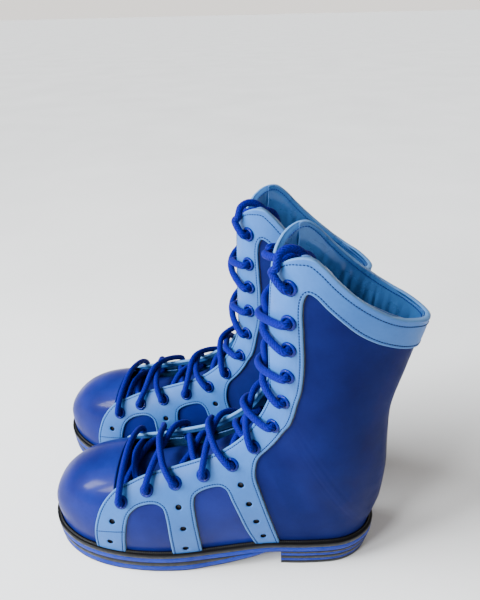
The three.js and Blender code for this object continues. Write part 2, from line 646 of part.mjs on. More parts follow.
  // the end over the corner is the left-hand one of each boot as it's worn
  const hand = prefix === 'left' ? 1 : -1;
  const bar = [-hand, 0, hand].map((s) => (s ? lifted(5.22, 0.34, s, 6.2) : lifted(5.22, 0, 1, 5.4)));
  const onwards = (list) => list.map(([x, y, z]) => new THREE.Vector3(x, y * hand, z));
  const path = [
    ...[lifted(18.2, 0.13, hand, 7.2), ...onwards(FRONT_TAIL)].reverse(), ...laceStrand(-hand).reverse(),
    ...bar, ...laceStrand(hand), lifted(18.6, 0.16, -hand, 7.5), ...onwards(CORNER_TAIL),
  ];
  group.add(tube(`${prefix}_lace`, path, LACE_RADIUS, path.length - 1, 5, material('lace', 0.8)));
  [[path[0], path[1]], [path[path.length - 1], path[path.length - 2]]].forEach(([end, before], i) => {
    const away = end.clone().sub(before).normalize();
    const start = end.clone().addScaledVector(away, GAP);
    const tip = end.clone().addScaledVector(away, AGLET);
    group.add(tube(`${prefix}_aglet_${i + 1}`, [start, tip], 1.8, 1, 5, material('black', 0.35)));
  });
  return group;
}

function mirrored(group) {
  const copy = new THREE.Group();
  for (const mesh of group.children) {
    const geometry = mesh.geometry.clone();
    const p = geometry.attributes.position;
    for (let i = 0; i < p.count; i += 1) p.setY(i, -p.getY(i));
    const index = geometry.index.array;
    for (let i = 0; i < index.length; i += 3) [index[i + 1], index[i + 2]] = [index[i + 2], index[i + 1]];
    geometry.computeVertexNormals();
    const twin = new THREE.Mesh(geometry, mesh.material.clone());
    twin.name = mesh.name;
    copy.add(twin);
  }
  return copy;
}

const left = boot('left');
left.name = 'left_boot';
left.position.set(-PAIR_CENTRE.x, -PAIR_CENTRE.y, 0);
const right = mirrored(boot('right'));
right.name = 'right_boot';
right.rotation.z = (FAR_BOOT.turn * Math.PI) / 180;
right.position.set(FAR_BOOT.x - PAIR_CENTRE.x, FAR_BOOT.y - PAIR_CENTRE.y, 0);

const group = new THREE.Group();
group.add(left, right);
export default group;
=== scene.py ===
import math

import bpy
import numpy as np
from mathutils import Matrix, Vector, geometry, kdtree


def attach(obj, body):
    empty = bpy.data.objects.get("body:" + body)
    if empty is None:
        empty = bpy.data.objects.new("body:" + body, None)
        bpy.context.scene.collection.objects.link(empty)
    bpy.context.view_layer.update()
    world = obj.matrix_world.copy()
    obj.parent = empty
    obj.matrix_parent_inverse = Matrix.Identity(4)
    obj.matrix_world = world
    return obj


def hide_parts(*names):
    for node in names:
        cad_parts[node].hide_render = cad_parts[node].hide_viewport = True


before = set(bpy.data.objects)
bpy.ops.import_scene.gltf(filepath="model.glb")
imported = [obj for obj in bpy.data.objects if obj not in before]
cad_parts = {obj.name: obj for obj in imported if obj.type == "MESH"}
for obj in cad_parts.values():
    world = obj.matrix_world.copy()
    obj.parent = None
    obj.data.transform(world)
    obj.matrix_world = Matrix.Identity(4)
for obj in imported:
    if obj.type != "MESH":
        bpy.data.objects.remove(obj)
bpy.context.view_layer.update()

MM = 0.001
BOOTS = {  # where each boot stands: x, y, turn in degrees, hand
    "left": (6.28, -52.89, 0.0, 1),
    "right": (-21.32, 44.11, -7.5, -1),
}
SIDES = {"lateral": -1, "medial": 1}

# ---- heights above the reference surface ----
LEATHER = 1.5
LACE_RADIUS = 2.8
EYELET_MARGIN = 6.2
STITCH_INSET = 2.35
COLLAR_INSET = 4.6
STITCH_PITCH = 2.3
PUNCH_RADIUS = 2.6
EYELET_HOLE = 4.2

# ---- sole ----
WELT = 4.5
WELT_WIDTH = 4.2
MIDSOLE = 5.8
OUTSOLE = 1.8
HEEL_LIFTS = (3.9, 4.0, 5.8, 3.8)
HEEL_FRONT = 9.4
WAIST_END = 8.9

# ---- shape of the boot: [station, x, z, fullness at the front, fullness at the back] ----
FRONT_LINE = np.array([
    (0, -146, 32, 0, 0), (1, -147.5, 44, 11, 9), (2, -143, 60, 22, 19), (3, -130, 75, 29, 28),
    (4, -107, 87, 32.5, 38), (6, -50, 102, 33.5, 46), (8, 4, 124, 30, 52), (10, 36, 155, 32, 63),
    (12, 48, 189, 46, 54), (14, 49.5, 222, 58, 40), (20, 50.5, 318, 58, 33),
])
# feather line where the upper meets the sole: [station, x, lateral half width, medial half width]
FEATHER = np.array([
    (0, -146, 0, 0), (1, -143.5, 14, 14), (2, -135, 27, 27), (3, -120, 37, 37), (4, -101, 43.5, 43.5),
    (5, -78, 47, 46), (6, -52, 48, 45), (7, -24, 46, 40), (8, 10, 41, 34), (9, 48, 36.5, 32.5),
    (10, 86, 34.5, 33.5), (11, 117, 29.5, 29.5), (12, 136, 17, 17), (13, 142.5, 0, 0),
], float)
BACK_RISE = [(13, 33.5), (14, 60), (15, 95), (16, 130), (17, 165), (18, 200), (19, 235), (20, 265)]
BACK_LINE = [(33.5, 142.5), (60, 149.5), (95, 150.5), (130, 148), (160, 146.5), (200, 153), (270, 166)]
SOLE_TOP = [(-150, 33), (-110, 27), (-70, 25), (-40, 25), (0, 27), (60, 33), (80, 33.5), (150, 33.5)]
SOLE_BOTTOM = [(-150, 8), (-110, 2), (-75, 0), (-30, 0), (5, 4), (35, 13), (60, 22.5), (150, 23.4)]

# ---- pattern ----
EYELETS = (5.22, 6.0, 6.84, 7.7, 8.73, 9.75, 11.3, 13.25, 14.7, 15.96, 17.04, 18.34)
EYELET_LINE = [(5.22, 0.507), (6, 0.417), (7.7, 0.386), (8.73, 0.383), (9.75, 0.33), (11.3, 0.273),
               (13.25, 0.24), (16, 0.25), (18.34, 0.23)]
FACING_EDGE = [(4.98, 0.39), (5.28, 0.343), (5.9, 0.273), (6.7, 0.248), (8.4, 0.241), (10, 0.193),
               (12, 0.145), (13.5, 0.105), (17.5, 0.09), (18.3, 0.121), (19, 0.17)]
COLLAR_EDGE = [(0.1, 18.3), (0.17, 18.98), (0.225, 19.42), (0.3, 19.85), (0.367, 19.78), (0.422, 19.58),
               (0.548, 19.32), (0.722, 19.3), (1, 19.43)]
COLLAR_START = 17.5
THROAT = 4.95

FACING = [(5.28, 0.343), (5.9, 0.273), (6.67, 0.248), (7.49, 0.238), (8.4, 0.241), (9.3, 0.219),
          (9.96, 0.193), (11.02, 0.164), (12.16, 0.149), (13.27, 0.108), (14.77, 0.079), (16.65, 0.085),
          (17.47, 0.09), (18.29, 0.121), (18.98, 0.175)]
COLLAR_TOP = [(18.98, 0.175), (19.42, 0.225), (19.75, 0.278), (19.87, 0.319), (19.78, 0.367),
              (19.58, 0.422), (19.43, 0.477), (19.32, 0.548), (19.27, 0.637), (19.3, 0.722),
              (19.37, 0.809), (19.43, 1.0)]
COLLAR_FOOT = [(18.7, 1.0), (18.69, 0.934), (18.63, 0.822), (18.54, 0.706), (18.46, 0.612),
               (18.44, 0.535), (18.5, 0.466), (18.59, 0.4), (18.7, 0.346), (18.65, 0.318),
               (18.31, 0.301), (17.82, 0.302), (17.08, 0.321), (16.19, 0.331), (14.93, 0.322),
               (13.73, 0.303), (11.73, 0.322), (10.42, 0.375), (9.71, 0.419), (9.42, 0.512),
               (9.39, 0.623), (9.38, 0.727), (9.35, 1.0)]
BACK_WINDOW = [(8.8, 1.0), (8.7, 0.886), (8.61, 0.751), (8.51, 0.641), (8.41, 0.552), (8.25, 0.515),
               (7.99, 0.502), (7.65, 0.506), (7.44, 0.53), (7.39, 0.58), (7.43, 0.713), (7.5, 0.866),
               (7.55, 1.0)]
FRONT_WINDOW = [(6.75, 1.0), (6.68, 0.833), (6.6, 0.675), (6.5, 0.592), (6.31, 0.551), (6.06, 0.541),
                (5.73, 0.561), (5.48, 0.621), (5.36, 0.711), (5.28, 0.833), (5.2, 1.0)]
FRONT_EDGE = [(4.07, 1.0), (4.2, 0.82), (4.35, 0.692), (4.54, 0.561), (4.78, 0.453), (5.06, 0.371),
              (5.28, 0.343)]
PUNCHES = [(4.91, 0.694), (4.71, 0.911), (6.97, 0.597), (7.09, 0.78), (7.13, 0.959), (8.89, 0.547),
           (8.97, 0.691), (9.01, 0.824), (9.05, 0.942)]
STRAP_SEAM = [(4.26, 0.808), (4.8, 0.797), (5.31, 0.785)]


# ---- smooth interpolation and the boot surface ----
def smooth(stations, at, column=1):
    table = np.asarray(stations, float)
    x, y = table[:, 0], table[:, column]
    q = np.clip(at, x[0], x[-1])
    i = np.clip(np.searchsorted(x, q, side="right") - 1, 0, len(x) - 2)
    slope = np.diff(y) / np.diff(x)
    before, after = slope[:-1], slope[1:]
    same = before * after > 0
    tangent = np.empty(len(x))
    tangent[0], tangent[-1] = slope[0], slope[-1]
    tangent[1:-1] = np.where(same, 2 * before * after / np.where(same, before + after, 1), 0)
    h = x[i + 1] - x[i]
    s = (q - x[i]) / h
    return (y[i] * (1 + 2 * s) * (1 - s) ** 2 + tangent[i] * h * s * (1 - s) ** 2
            + y[i + 1] * s * s * (3 - 2 * s) - tangent[i + 1] * h * s * s * (1 - s))


def feather(k, side):
    ring = np.vstack([FEATHER[1] * (1, 1, -1, -1), FEATHER, FEATHER[12] * (1, 1, -1, -1)])
    i = np.minimum(np.floor(k).astype(int), 12)
    s = np.asarray(k, float) - i

    def spline(column):
        p0, p1, p2, p3 = (ring[i + j, column] for j in range(4))
        return 0.5 * (2 * p1 + (p2 - p0) * s + (2 * p0 - 5 * p1 + 4 * p2 - p3) * s * s
                      + (3 * p1 - p0 - 3 * p2 + p3) * s ** 3)

    return spline(1), spline(2 if side < 0 else 3)


def feather_normal(k, side):
    ax, aw = feather(np.maximum(k - 0.001, 0), side)
    bx, bw = feather(np.minimum(k + 0.001, 13), side)
    length = np.hypot(bx - ax, bw - aw)
    return (aw - bw) / length, (bx - ax) / length


def surface(k, t, side):
    """The outside of the upper, with the turn over the heel's corner eased."""
    k, t = np.broadcast_arrays(np.clip(np.asarray(k, float), 0, 20), np.asarray(t, float))
    points = plain_surface(k, t, side)
    near = (np.abs(k - 13) < 2.4) & (t > 0.05) & (t < 1)
    if near.any():
        k, t = k[near], t[near]
        reach = 1.15 * np.clip((1 - t) / 0.2, 0, 1) ** 0.7 * (1 - np.abs(k - 13) / 2.4) ** 0.5
        total = 3 * points[near]
        for step, weight in ((-1, 1), (-0.5, 2), (0.5, 2), (1, 1)):
            total = total + weight * plain_surface(k + step * reach, t, side)
        points[near] = total / 9
    return points


def plain_surface(k, t, side):
    top_x, top_z, full_front, full_back = (smooth(FRONT_LINE, k, c) for c in (1, 2, 3, 4))
    low = k <= 13
    s = np.maximum(np.minimum(k, 13) - 12, 0)
    f = np.clip(np.where(k > 12, 12 + s + s * s - s ** 3, k), 0, 13)
    fx, fw = feather(f, side)
    nx, nw = feather_normal(f, side)
    s = 1 - np.clip(k - 13, 0, 1)
    back_z = smooth(BACK_RISE, np.where(k < 14, 14 - s - s * s + s ** 3, k))
    foot_x = np.where(low, fx, smooth(BACK_LINE, back_z))
    foot_y = np.where(low, fw, 0)
    foot_z = np.where(low, smooth(SOLE_TOP, fx), back_z)
    nx, nw = np.where(low, nx, 1), np.where(low, nw, 0)
    ex, ez = top_x - foot_x, top_z - foot_z
    length = np.hypot(ex, ez)
    short = length < 1e-6
    ex = np.where(short, 0, ex / np.where(short, 1, length))
    ez = np.where(short, 1, ez / np.where(short, 1, length))
    rise = np.stack([ex * nw, -ex * nx, ez * nw])
    rise /= np.maximum(np.linalg.norm(rise, axis=0), 1e-9)
    rise[0] += 0.06 * nx * nw
    rise[1] += 0.06 * nw * nw
    w0, w1, w2, w3 = (1 - t) ** 3, 3 * t * (1 - t) ** 2, 3 * t * t * (1 - t), t ** 3
    return np.stack([
        top_x * (w0 + w1) + (foot_x + full_back * rise[0]) * w2 + foot_x * w3,
        side * (full_front * w1 + (foot_y + full_back * rise[1]) * w2 + foot_y * w3),
        top_z * (w0 + w1) + (foot_z + full_back * rise[2]) * w2 + foot_z * w3,
    ], -1)


def unit(v):
    return v / np.maximum(np.linalg.norm(v, axis=-1, keepdims=True), 1e-12)


def tangents(k, t, side, e=0.004):
    k, t = np.broadcast_arrays(np.asarray(k, float), np.asarray(t, float))
    k0, k1 = np.clip(k - e, 0, 20), np.clip(k + e, 0, 20)
    along = (surface(k1, t, side) - surface(k0, t, side)) / (k1 - k0)[..., None]
    around = (surface(k, t + e, side) - surface(k, t - e, side)) / (2 * e)
    return along, around


def outward(k, t, side):
    k, t = np.broadcast_arrays(np.asarray(k, float), np.asarray(t, float))
    along, around = tangents(k, t, side)
    n = np.cross(around, along) if side < 0 else np.cross(along, around)
    n = np.where((k < 0.01)[..., None], np.array([-1.0, 0, 0]), n)
    flat = np.abs(surface(k, t, side)[..., 1]) < 1e-4
    n[..., 1] = np.where(flat, 0, n[..., 1])
    return unit(n)


def lifted(k, t, side, height):
    return surface(k, t, side) + outward(k, t, side) * np.asarray(height, float)[..., None]


def step_in_pattern(kt, side, move):
    """How (k, t) changes for a 3-D move along the surface."""
    along, around = tangents(kt[:, 0], kt[:, 1], side)
    a, b, c = (along * along).sum(-1), (along * around).sum(-1), (around * around).sum(-1)
    p, q = (along * move).sum(-1), (around * move).sum(-1)
    det = np.maximum(a * c - b * b, 1e-9)
    return np.column_stack([(c * p - b * q) / det, (a * q - b * p) / det])


def eyelet_half(k, side):
    """Half the width in t of the band that holds the eyelets."""
    k = np.maximum(k, 5)
    t = smooth(EYELET_LINE, k)
    along, around = tangents(k, t, side, 0.01)
    along = unit(along)
    return EYELET_MARGIN / np.linalg.norm(around - along * (around * along).sum(-1, keepdims=True), axis=-1)


# ---- curves in the pattern ----
CHART = np.array([20.0, 110.0])  # millimetres, roughly, for one unit of k and t


def spline(points, steps=14):
    """Centripetal Catmull-Rom curve through points of any dimension."""
    p = np.asarray(points, float)
    p = np.vstack([2 * p[0] - p[1], p, 2 * p[-1] - p[-2]])
    out = []
    for a, b, c, d in zip(p, p[1:], p[2:], p[3:]):
        t1 = math.sqrt(np.linalg.norm(b - a)) or 1e-6
        t2 = t1 + (math.sqrt(np.linalg.norm(c - b)) or 1e-6)
        t3 = t2 + (math.sqrt(np.linalg.norm(d - c)) or 1e-6)
        u = np.linspace(t1, t2, steps, endpoint=False)[:, None]
        ab = a * (t1 - u) / t1 + b * u / t1
        bc = b * (t2 - u) / (t2 - t1) + c * (u - t1) / (t2 - t1)
        cd = c * (t3 - u) / (t3 - t2) + d * (u - t2) / (t3 - t2)
        abc = ab * (t2 - u) / t2 + bc * u / t2
        bcd = bc * (t3 - u) / (t3 - t1) + cd * (u - t1) / (t3 - t1)
        out.append(abc * (t2 - u) / (t2 - t1) + bcd * (u - t1) / (t2 - t1))
    return np.vstack([*out, p[-2]])


def evenly(points, lengths_of, step):
    """Resamples a polyline so that lengths_of(points) is cut into equal steps."""
    q = lengths_of(points)
    run = np.concatenate([[0], np.cumsum(np.linalg.norm(np.diff(q, axis=0), axis=1))])
    count = max(int(round(run[-1] / step)), 2)
    at = np.linspace(0, run[-1], count + 1)
    return np.column_stack([np.interp(at, run, points[:, i]) for i in range(points.shape[1])])


def pattern_line(points, side, step=1.0):
    dense = spline(np.asarray(points, float) * CHART) / CHART
    return evenly(dense, lambda kt: surface(kt[:, 0], kt[:, 1], side), step)


def inset(kt, side, distance, closed=False):
    """Moves a line sideways over the surface, to the left of its direction in (k, t)."""
    p = surface(kt[:, 0], kt[:, 1], side)
    if closed:
        run = np.roll(p, -1, 0) - np.roll(p, 1, 0)
    else:
        run = np.gradient(p, axis=0)
    along, around = tangents(kt[:, 0], kt[:, 1], side)
    left = unit(np.cross(np.cross(along, around), run))
    return kt + step_in_pattern(kt, side, left * distance)


def ring_at(k, t, side, radius, count=28):
    """A circle of that radius round (k, t) on the surface."""
    centre = np.array([[k, t]])
    along, around = tangents(centre[:, 0], centre[:, 1], side)
    a = unit(along)[0]
    b = unit(around[0] - a * (around[0] @ a))
    angle = np.linspace(0, 2 * math.pi, count, endpoint=False)[:, None]
    move = radius * (np.cos(angle) * a + np.sin(angle) * b)
    return centre + step_in_pattern(np.repeat(centre, count, 0), side, move)


def nearest(points, targets):
    tree = kdtree.KDTree(len(targets))
    for i, q in enumerate(targets):
        tree.insert(q, i)
    tree.balance()
    return np.array([tree.find(p)[2] for p in points])


def inside(points, loop):
    """Even-odd test of 2-D points against a closed loop."""
    x, y = points[:, 0][:, None], points[:, 1][:, None]
    a, b = loop, np.roll(loop, -1, 0)
    crosses = (a[:, 1] > y) != (b[:, 1] > y)
    rise = np.where(b[:, 1] == a[:, 1], 1e-12, b[:, 1] - a[:, 1])
    return ((x < (b[:, 0] - a[:, 0]) * (y - a[:, 1]) / rise + a[:, 0]) & crosses).sum(1) % 2 == 1


# ---- meshes ----
def closed_sheet(top, bottom, faces):
    """Top and bottom layers of the same faces, joined by walls along the open edges."""
    n = len(top)
    edges = set()
    for face in faces:
        for a, b in zip(face, face[1:] + face[:1]):
            if (b, a) in edges:
                edges.remove((b, a))
            else:
                edges.add((a, b))
    walls = [(b, a, a + n, b + n) for a, b in sorted(edges)]
    under = [tuple(v + n for v in reversed(face)) for face in faces]
    return np.vstack([top, bottom]), list(faces) + under + walls


def placed(points, boot):
    x0, y0, turn, hand = BOOTS[boot]
    p = np.asarray(points, float) * (1, hand, 1)
    c, s = math.cos(math.radians(turn)), math.sin(math.radians(turn))
    return np.column_stack([p[:, 0] * c - p[:, 1] * s + x0, p[:, 0] * s + p[:, 1] * c + y0, p[:, 2]]) * MM


def piece(name, points, faces, looks, body="boot", nodes=(), kinds=None, fields=None,
          boots=tuple(BOOTS)):
    """One piece on each boot. kinds gives each face its material, fields are numbers kept on the points."""
    made = []
    for boot in boots:
        hand = BOOTS[boot][3]
        mesh = bpy.data.meshes.new(f"{boot}_{name}")
        turned = faces if hand > 0 else [tuple(reversed(face)) for face in faces]
        mesh.from_pydata(placed(points, boot).tolist(), [], turned)
        for look in looks:
            mesh.materials.append(look)
        if kinds is not None:
            mesh.polygons.foreach_set("material_index", np.asarray(kinds, np.int32))
        for field, values in (fields or {}).items():
            layer = mesh.attributes.new(field, "FLOAT", "POINT")
            layer.data.foreach_set("value", np.asarray(values, np.float32))
        mesh.polygons.foreach_set("use_smooth", np.ones(len(mesh.polygons), bool))
        mesh.update()
        obj = bpy.data.objects.new(f"{boot}_{name}_look" if nodes else f"{boot}_{name}", mesh)
        bpy.context.scene.collection.objects.link(obj)
        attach(obj, f"{boot}_{body}")
        if nodes:
            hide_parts(*[f"{boot}_{node}" for node in nodes])
        made.append(obj)
    return made


def grid_faces(rows, columns, keep=None, flip=False):
    faces = []
    for i in range(rows - 1):
        for j in range(columns - 1):
            if keep is None or keep(i, j):
                here, after = i * columns + j, (i + 1) * columns + j
                face = (here, here + 1, after + 1, after)
                faces.append(tuple(reversed(face)) if flip else face)
    return faces


def used_only(top, bottom, faces, fields=None):
    used = sorted({v for face in faces for v in face})
    index = {v: i for i, v in enumerate(used)}
    faces = [tuple(index[v] for v in face) for face in faces]
    fields = {name: values[used] for name, values in (fields or {}).items()}
    return top[used], bottom[used], faces, fields


def merged(points, faces, tolerance=1e-3):
    """Joins points that fall together, and drops the faces that vanish with them."""
    key = np.round(points / tolerance).astype(np.int64)
    _, first, back = np.unique(key, axis=0, return_index=True, return_inverse=True)
    back = back.ravel()
    kept = []
    for face in faces:
        ring = [int(back[v]) for v in face]
        ring = [v for i, v in enumerate(ring) if v != ring[i - 1]]
        if len(set(ring)) > 2:
            kept.append(tuple(ring))
    return points[first], kept, first


def facing_out(solid, faces):
    """Turns every face round if the closed body they make is inside out."""
    corners = np.array([(f[0], f[i], f[i + 1]) for f in faces for i in range(1, len(f) - 1)])
    a, b, c = (solid[corners[:, i]] for i in range(3))
    if np.einsum("ij,ij->i", a, np.cross(b, c)).sum() < 0:
        return [tuple(reversed(face)) for face in faces]
    return faces


# ---- materials ----
def rgb(red, green, blue):
    """Linear colour from 8-bit display values."""
    def linear(v):
        v /= 255
        return v / 12.92 if v <= 0.04045 else ((v + 0.055) / 1.055) ** 2.4

    return linear(red), linear(green), linear(blue), 1.0


class Look:
    """A material with one Principled shader and the nodes that feed it."""

    def __init__(self, name, **sockets):
        self.material = bpy.data.materials.new(name)
        self.material.use_nodes = True
        self.tree = self.material.node_tree
        self.shader = self.tree.nodes["Principled BSDF"]
        for socket, value in sockets.items():
            self.shader.inputs[socket.replace("_", " ")].default_value = value
        self.place = self.node("ShaderNodeTexCoord").outputs["Object"]

    def node(self, kind, inputs=None, **settings):
        made = self.tree.nodes.new(kind)
        for key, value in settings.items():
            setattr(made, key, value)
        for key, value in (inputs or {}).items():
            if isinstance(value, bpy.types.NodeSocket):
                self.tree.links.new(value, made.inputs[key])
            else:
                made.inputs[key].default_value = value
        return made

    def stretched(self, scale):
        return self.node("ShaderNodeMapping", {"Vector": self.place, "Scale": scale}).outputs[0]

    def noise(self, scale, detail=2.0, place=None, roughness=0.5):
        inputs = {"Vector": place or self.place, "Scale": scale, "Detail": detail, "Roughness": roughness}
        return self.node("ShaderNodeTexNoise", inputs).outputs[0]

    def cells(self, scale, feature="F1"):
        inputs = {"Vector": self.place, "Scale": scale}
        return self.node("ShaderNodeTexVoronoi", inputs, feature=feature).outputs["Distance"]

    def field(self, name):
        return self.node("ShaderNodeAttribute", attribute_name=name).outputs["Fac"]

    def spread(self, value, low, high, to_low=0.0, to_high=1.0):
        inputs = {"Value": value, "From Min": low, "From Max": high, "To Min": to_low, "To Max": to_high}
        return self.node("ShaderNodeMapRange", inputs).outputs[0]

    def math(self, operation, a, b):
        return self.node("ShaderNodeMath", {0: a, 1: b}, operation=operation).outputs[0]

    def mix(self, share, a, b):
        mixer = self.node("ShaderNodeMix", {"Factor": share}, data_type="RGBA")
        for socket, value in ((mixer.inputs[6], a), (mixer.inputs[7], b)):
            if isinstance(value, bpy.types.NodeSocket):
                self.tree.links.new(value, socket)
            else:
                socket.default_value = value
        return mixer.outputs[2]

    def bump(self, height, distance, strength=1.0, under=None):
        inputs = {"Height": height, "Distance": distance * MM, "Strength": strength}
        if under is not None:
            inputs["Normal"] = under
        return self.node("ShaderNodeBump", inputs).outputs[0]

    def feed(self, socket, value):
        self.tree.links.new(value, self.shader.inputs[socket])


def leather(name, deep, light, roughness, grain, coat=0.0, rim=None, metallic=0.0, shine=0.16):
    look = Look(name, Coat_Weight=coat, Coat_Roughness=0.14, Metallic=metallic, Specular_IOR_Level=shine)
    patches = look.spread(look.noise(22, 3), 0.35, 0.65)
    flecks = look.spread(look.noise(420, 2), 0.3, 0.7)
    colour = look.mix(patches, deep, light)
    colour = look.mix(look.math("MULTIPLY", flecks, 0.14), colour, tuple(0.55 * v for v in deep[:3]) + (1.0,))
    if rim is not None:
        edge = look.spread(look.field("edge"), 0.35, 1.0, 1.0, 0.0)
        # painted shade: the pale leather darkens towards the stitch lines, in their grooves
        groove = look.spread(look.field("groove"), 0.15, 0.5, 0.4, 0.0)
        colour = look.mix(edge, colour, rim)
        colour = look.mix(groove, colour, rgb(34, 62, 112))
    look.feed("Base Color", colour)
    rough = look.spread(look.noise(60, 4), 0.3, 0.7, roughness - 0.06, roughness + 0.08)
    look.feed("Roughness", rough)
    pores = look.bump(look.cells(1500, "DISTANCE_TO_EDGE"), 0.05, grain)
    creases = look.bump(look.noise(300, 4), 0.10, grain, pores)
    look.feed("Normal", look.bump(look.noise(45, 2), 0.5, 0.35, creases))
    return look.material


def rubber(name, deep, light, roughness, streaks=0.4):
    look = Look(name, Specular_IOR_Level=0.2)
    worn = look.spread(look.noise(55, 5), 0.35, 0.7)
    look.feed("Base Color", look.mix(worn, deep, light))
    look.feed("Roughness", look.spread(look.noise(240, 3), 0.3, 0.7, roughness - 0.08, roughness + 0.12))
    layered = look.noise(120, 2, look.stretched((1.0, 1.0, 9.0)))
    fine = look.bump(look.noise(1400, 2), 0.04, 0.5)
    look.feed("Normal", look.bump(layered, 0.12, streaks, fine))
    return look.material


def braid_look():
    look = Look("braided_lace", Sheen_Weight=0.03, Sheen_Roughness=0.4, Specular_IOR_Level=0.1)
    # painted shade: the braid darkens to near black in the grooves between its strands
    shade = look.spread(look.field("strand"), 0.15, 0.85)
    colour = look.mix(shade, rgb(0, 1, 16), rgb(5, 14, 130))
    flecks = look.spread(look.noise(700, 3), 0.35, 0.65, 0.0, 0.35)
    look.feed("Base Color", look.mix(flecks, colour, rgb(3, 7, 80)))
    look.feed("Roughness", look.spread(look.noise(400, 2), 0.3, 0.7, 0.55, 0.8))
    look.feed("Normal", look.bump(look.noise(2600, 2), 0.05, 0.7))
    return look.material


def enamel_look():
    look = Look("eyelet_enamel", Coat_Weight=0.12, Coat_Roughness=0.08, Specular_IOR_Level=0.1)
    patches = look.spread(look.noise(200, 2), 0.3, 0.7)
    look.feed("Base Color", look.mix(patches, rgb(7, 16, 92), rgb(11, 26, 118)))
    look.feed("Roughness", look.spread(look.noise(500, 3), 0.3, 0.7, 0.16, 0.3))
    look.feed("Normal", look.bump(look.noise(900, 2), 0.02, 0.4))
    return look.material


def thread_look(name, deep, light):
    look = Look(name, Specular_IOR_Level=0.2)
    twist = look.spread(look.noise(1800, 2), 0.35, 0.65)
    look.feed("Base Color", look.mix(twist, deep, light))
    look.feed("Roughness", look.spread(look.noise(900, 2), 0.3, 0.7, 0.5, 0.75))
    look.feed("Normal", look.bump(look.noise(3000, 1), 0.03, 0.8))
    return look.material


def plain_look(name, deep, light, roughness, metallic=0.0, scale=200):
    look = Look(name, Metallic=metallic)
    look.feed("Base Color", look.mix(look.spread(look.noise(scale, 4), 0.3, 0.7), deep, light))
    look.feed("Roughness", look.spread(look.noise(scale * 2, 2), 0.3, 0.7, roughness - 0.07, roughness + 0.1))
    look.feed("Normal", look.bump(look.noise(scale * 3, 3), 0.1, 0.5))
    return look.material


ROYAL = leather("royal_leather", rgb(13, 20, 84), rgb(20, 31, 106), 0.36, 0.22, coat=0.12, shine=0.05)
ROYAL_MATT = leather("royal_leather_soft", rgb(12, 17, 68), rgb(17, 25, 82), 0.42, 0.25, shine=0.03)
PALE = leather("pale_leather", rgb(42, 92, 158), rgb(49, 101, 168), 0.46, 0.5, rim=rgb(74, 120, 172),
               shine=0.2)
LINING = leather("lining_leather", rgb(30, 68, 122), rgb(52, 100, 160), 0.3, 0.5, coat=0.2, metallic=0.3,
                 shine=0.3)
BLACK = rubber("black_rubber", rgb(5, 5, 7), rgb(10, 10, 12), 0.4)
BLUE_SOLE = rubber("blue_rubber", rgb(2, 32, 124), rgb(4, 42, 144), 0.6)
LACE = braid_look()
ENAMEL = enamel_look()
THREAD = thread_look("dark_thread", rgb(6, 15, 52), rgb(11, 26, 74))
BLUE_THREAD = thread_look("blue_thread", rgb(10, 30, 92), rgb(18, 46, 118))
# near-black painted shade: the shadow strip beside the windows, the walls of the punched holes and the discs
# under them
PAINTED_SHADE = plain_look("painted_shade", rgb(3, 5, 17), rgb(6, 9, 25), 0.6)
CORK = plain_look("cork", rgb(150, 108, 66), rgb(186, 140, 92), 0.85, scale=500)
BOARD = plain_look("fibre_board", rgb(160, 130, 92), rgb(182, 150, 110), 0.8)
STEEL = plain_look("shank_steel", rgb(140, 143, 150), rgb(170, 173, 178), 0.35, metallic=1.0)
PLASTIC = plain_look("lace_tip", rgb(12, 20, 80), rgb(22, 36, 120), 0.28)


# ---- leather panels laid out as grids ----
def signed(k, s, height):
    """Points at (k, |s|): negative s on the lateral side, positive s on the medial side."""
    height = np.broadcast_to(height, s.shape)
    lateral = lifted(k, np.abs(s), -1, height)
    medial = lifted(k, np.abs(s), 1, height)
    return np.where((s < 0)[..., None], lateral, medial)


def leaned(k, t):
    """Above COLLAR_START the stations lean towards the collar's edge."""
    share = np.clip((k - COLLAR_START) / (20 - COLLAR_START), 0, 1)
    return np.where(k > COLLAR_START, COLLAR_START + (smooth(COLLAR_EDGE, t) - COLLAR_START) * share, k)


def band_outer(k, side):
    """t where the leather under the facing starts, outside the eyelets."""
    t = smooth(EYELET_LINE, np.maximum(k, 5)) + eyelet_half(k, side)
    return t + (0.36 - t) * np.clip((5 - k) / 2.2, 0, 1)


def hem(k):
    """The leather ends a little below the feather line, in the welt, and on the back line above it."""
    return 1 + 0.012 * np.clip((13 - k) * 4, 0, 1)


def waves(p, seed, size, amount):
    """Soft unevenness from a few crossing sine waves."""
    draw = np.random.default_rng(seed)
    total = np.zeros(p.shape[:-1])
    for _ in range(5):
        direction = unit(draw.normal(size=3))
        total += np.sin(p @ direction * 2 * math.pi / (size * draw.uniform(0.7, 1.5)) + draw.uniform(0, 6.28))
    return total * amount / 5


def panel(name, k, s, low, high, keep, look, nodes, body="boot"):
    top, bottom = signed(k, s, high), signed(k, s, low)
    rows, columns = k.shape
    faces = grid_faces(rows, columns, keep)
    top, bottom, faces, _ = used_only(top.reshape(-1, 3), bottom.reshape(-1, 3), faces)
    points, faces = closed_sheet(top, bottom, faces)
    points, faces, _ = merged(points, faces)
    piece(name, points, facing_out(points, faces), [look], body, nodes)


def over_the_front(stations, outer, inner_rows, outer_rows, under=0.0):
    """Grid from the lateral sole edge over the front line to the medial one."""
    k = np.asarray(stations)[:, None]
    outer_share = np.linspace(0, 1, outer_rows + 1)[1:]
    inner_share = np.linspace(0, 1, inner_rows + 1)
    halves = []
    for side in (-1, 1):
        edge = band_outer(k, side) - under * np.clip((k - THROAT) / 0.8, 0, 1)
        halves.append(side * np.hstack([edge * inner_share, edge + (outer(k) - edge) * outer_share]))
    s = np.hstack([halves[0][:, :0:-1], halves[1]])
    return np.broadcast_to(k, s.shape), s


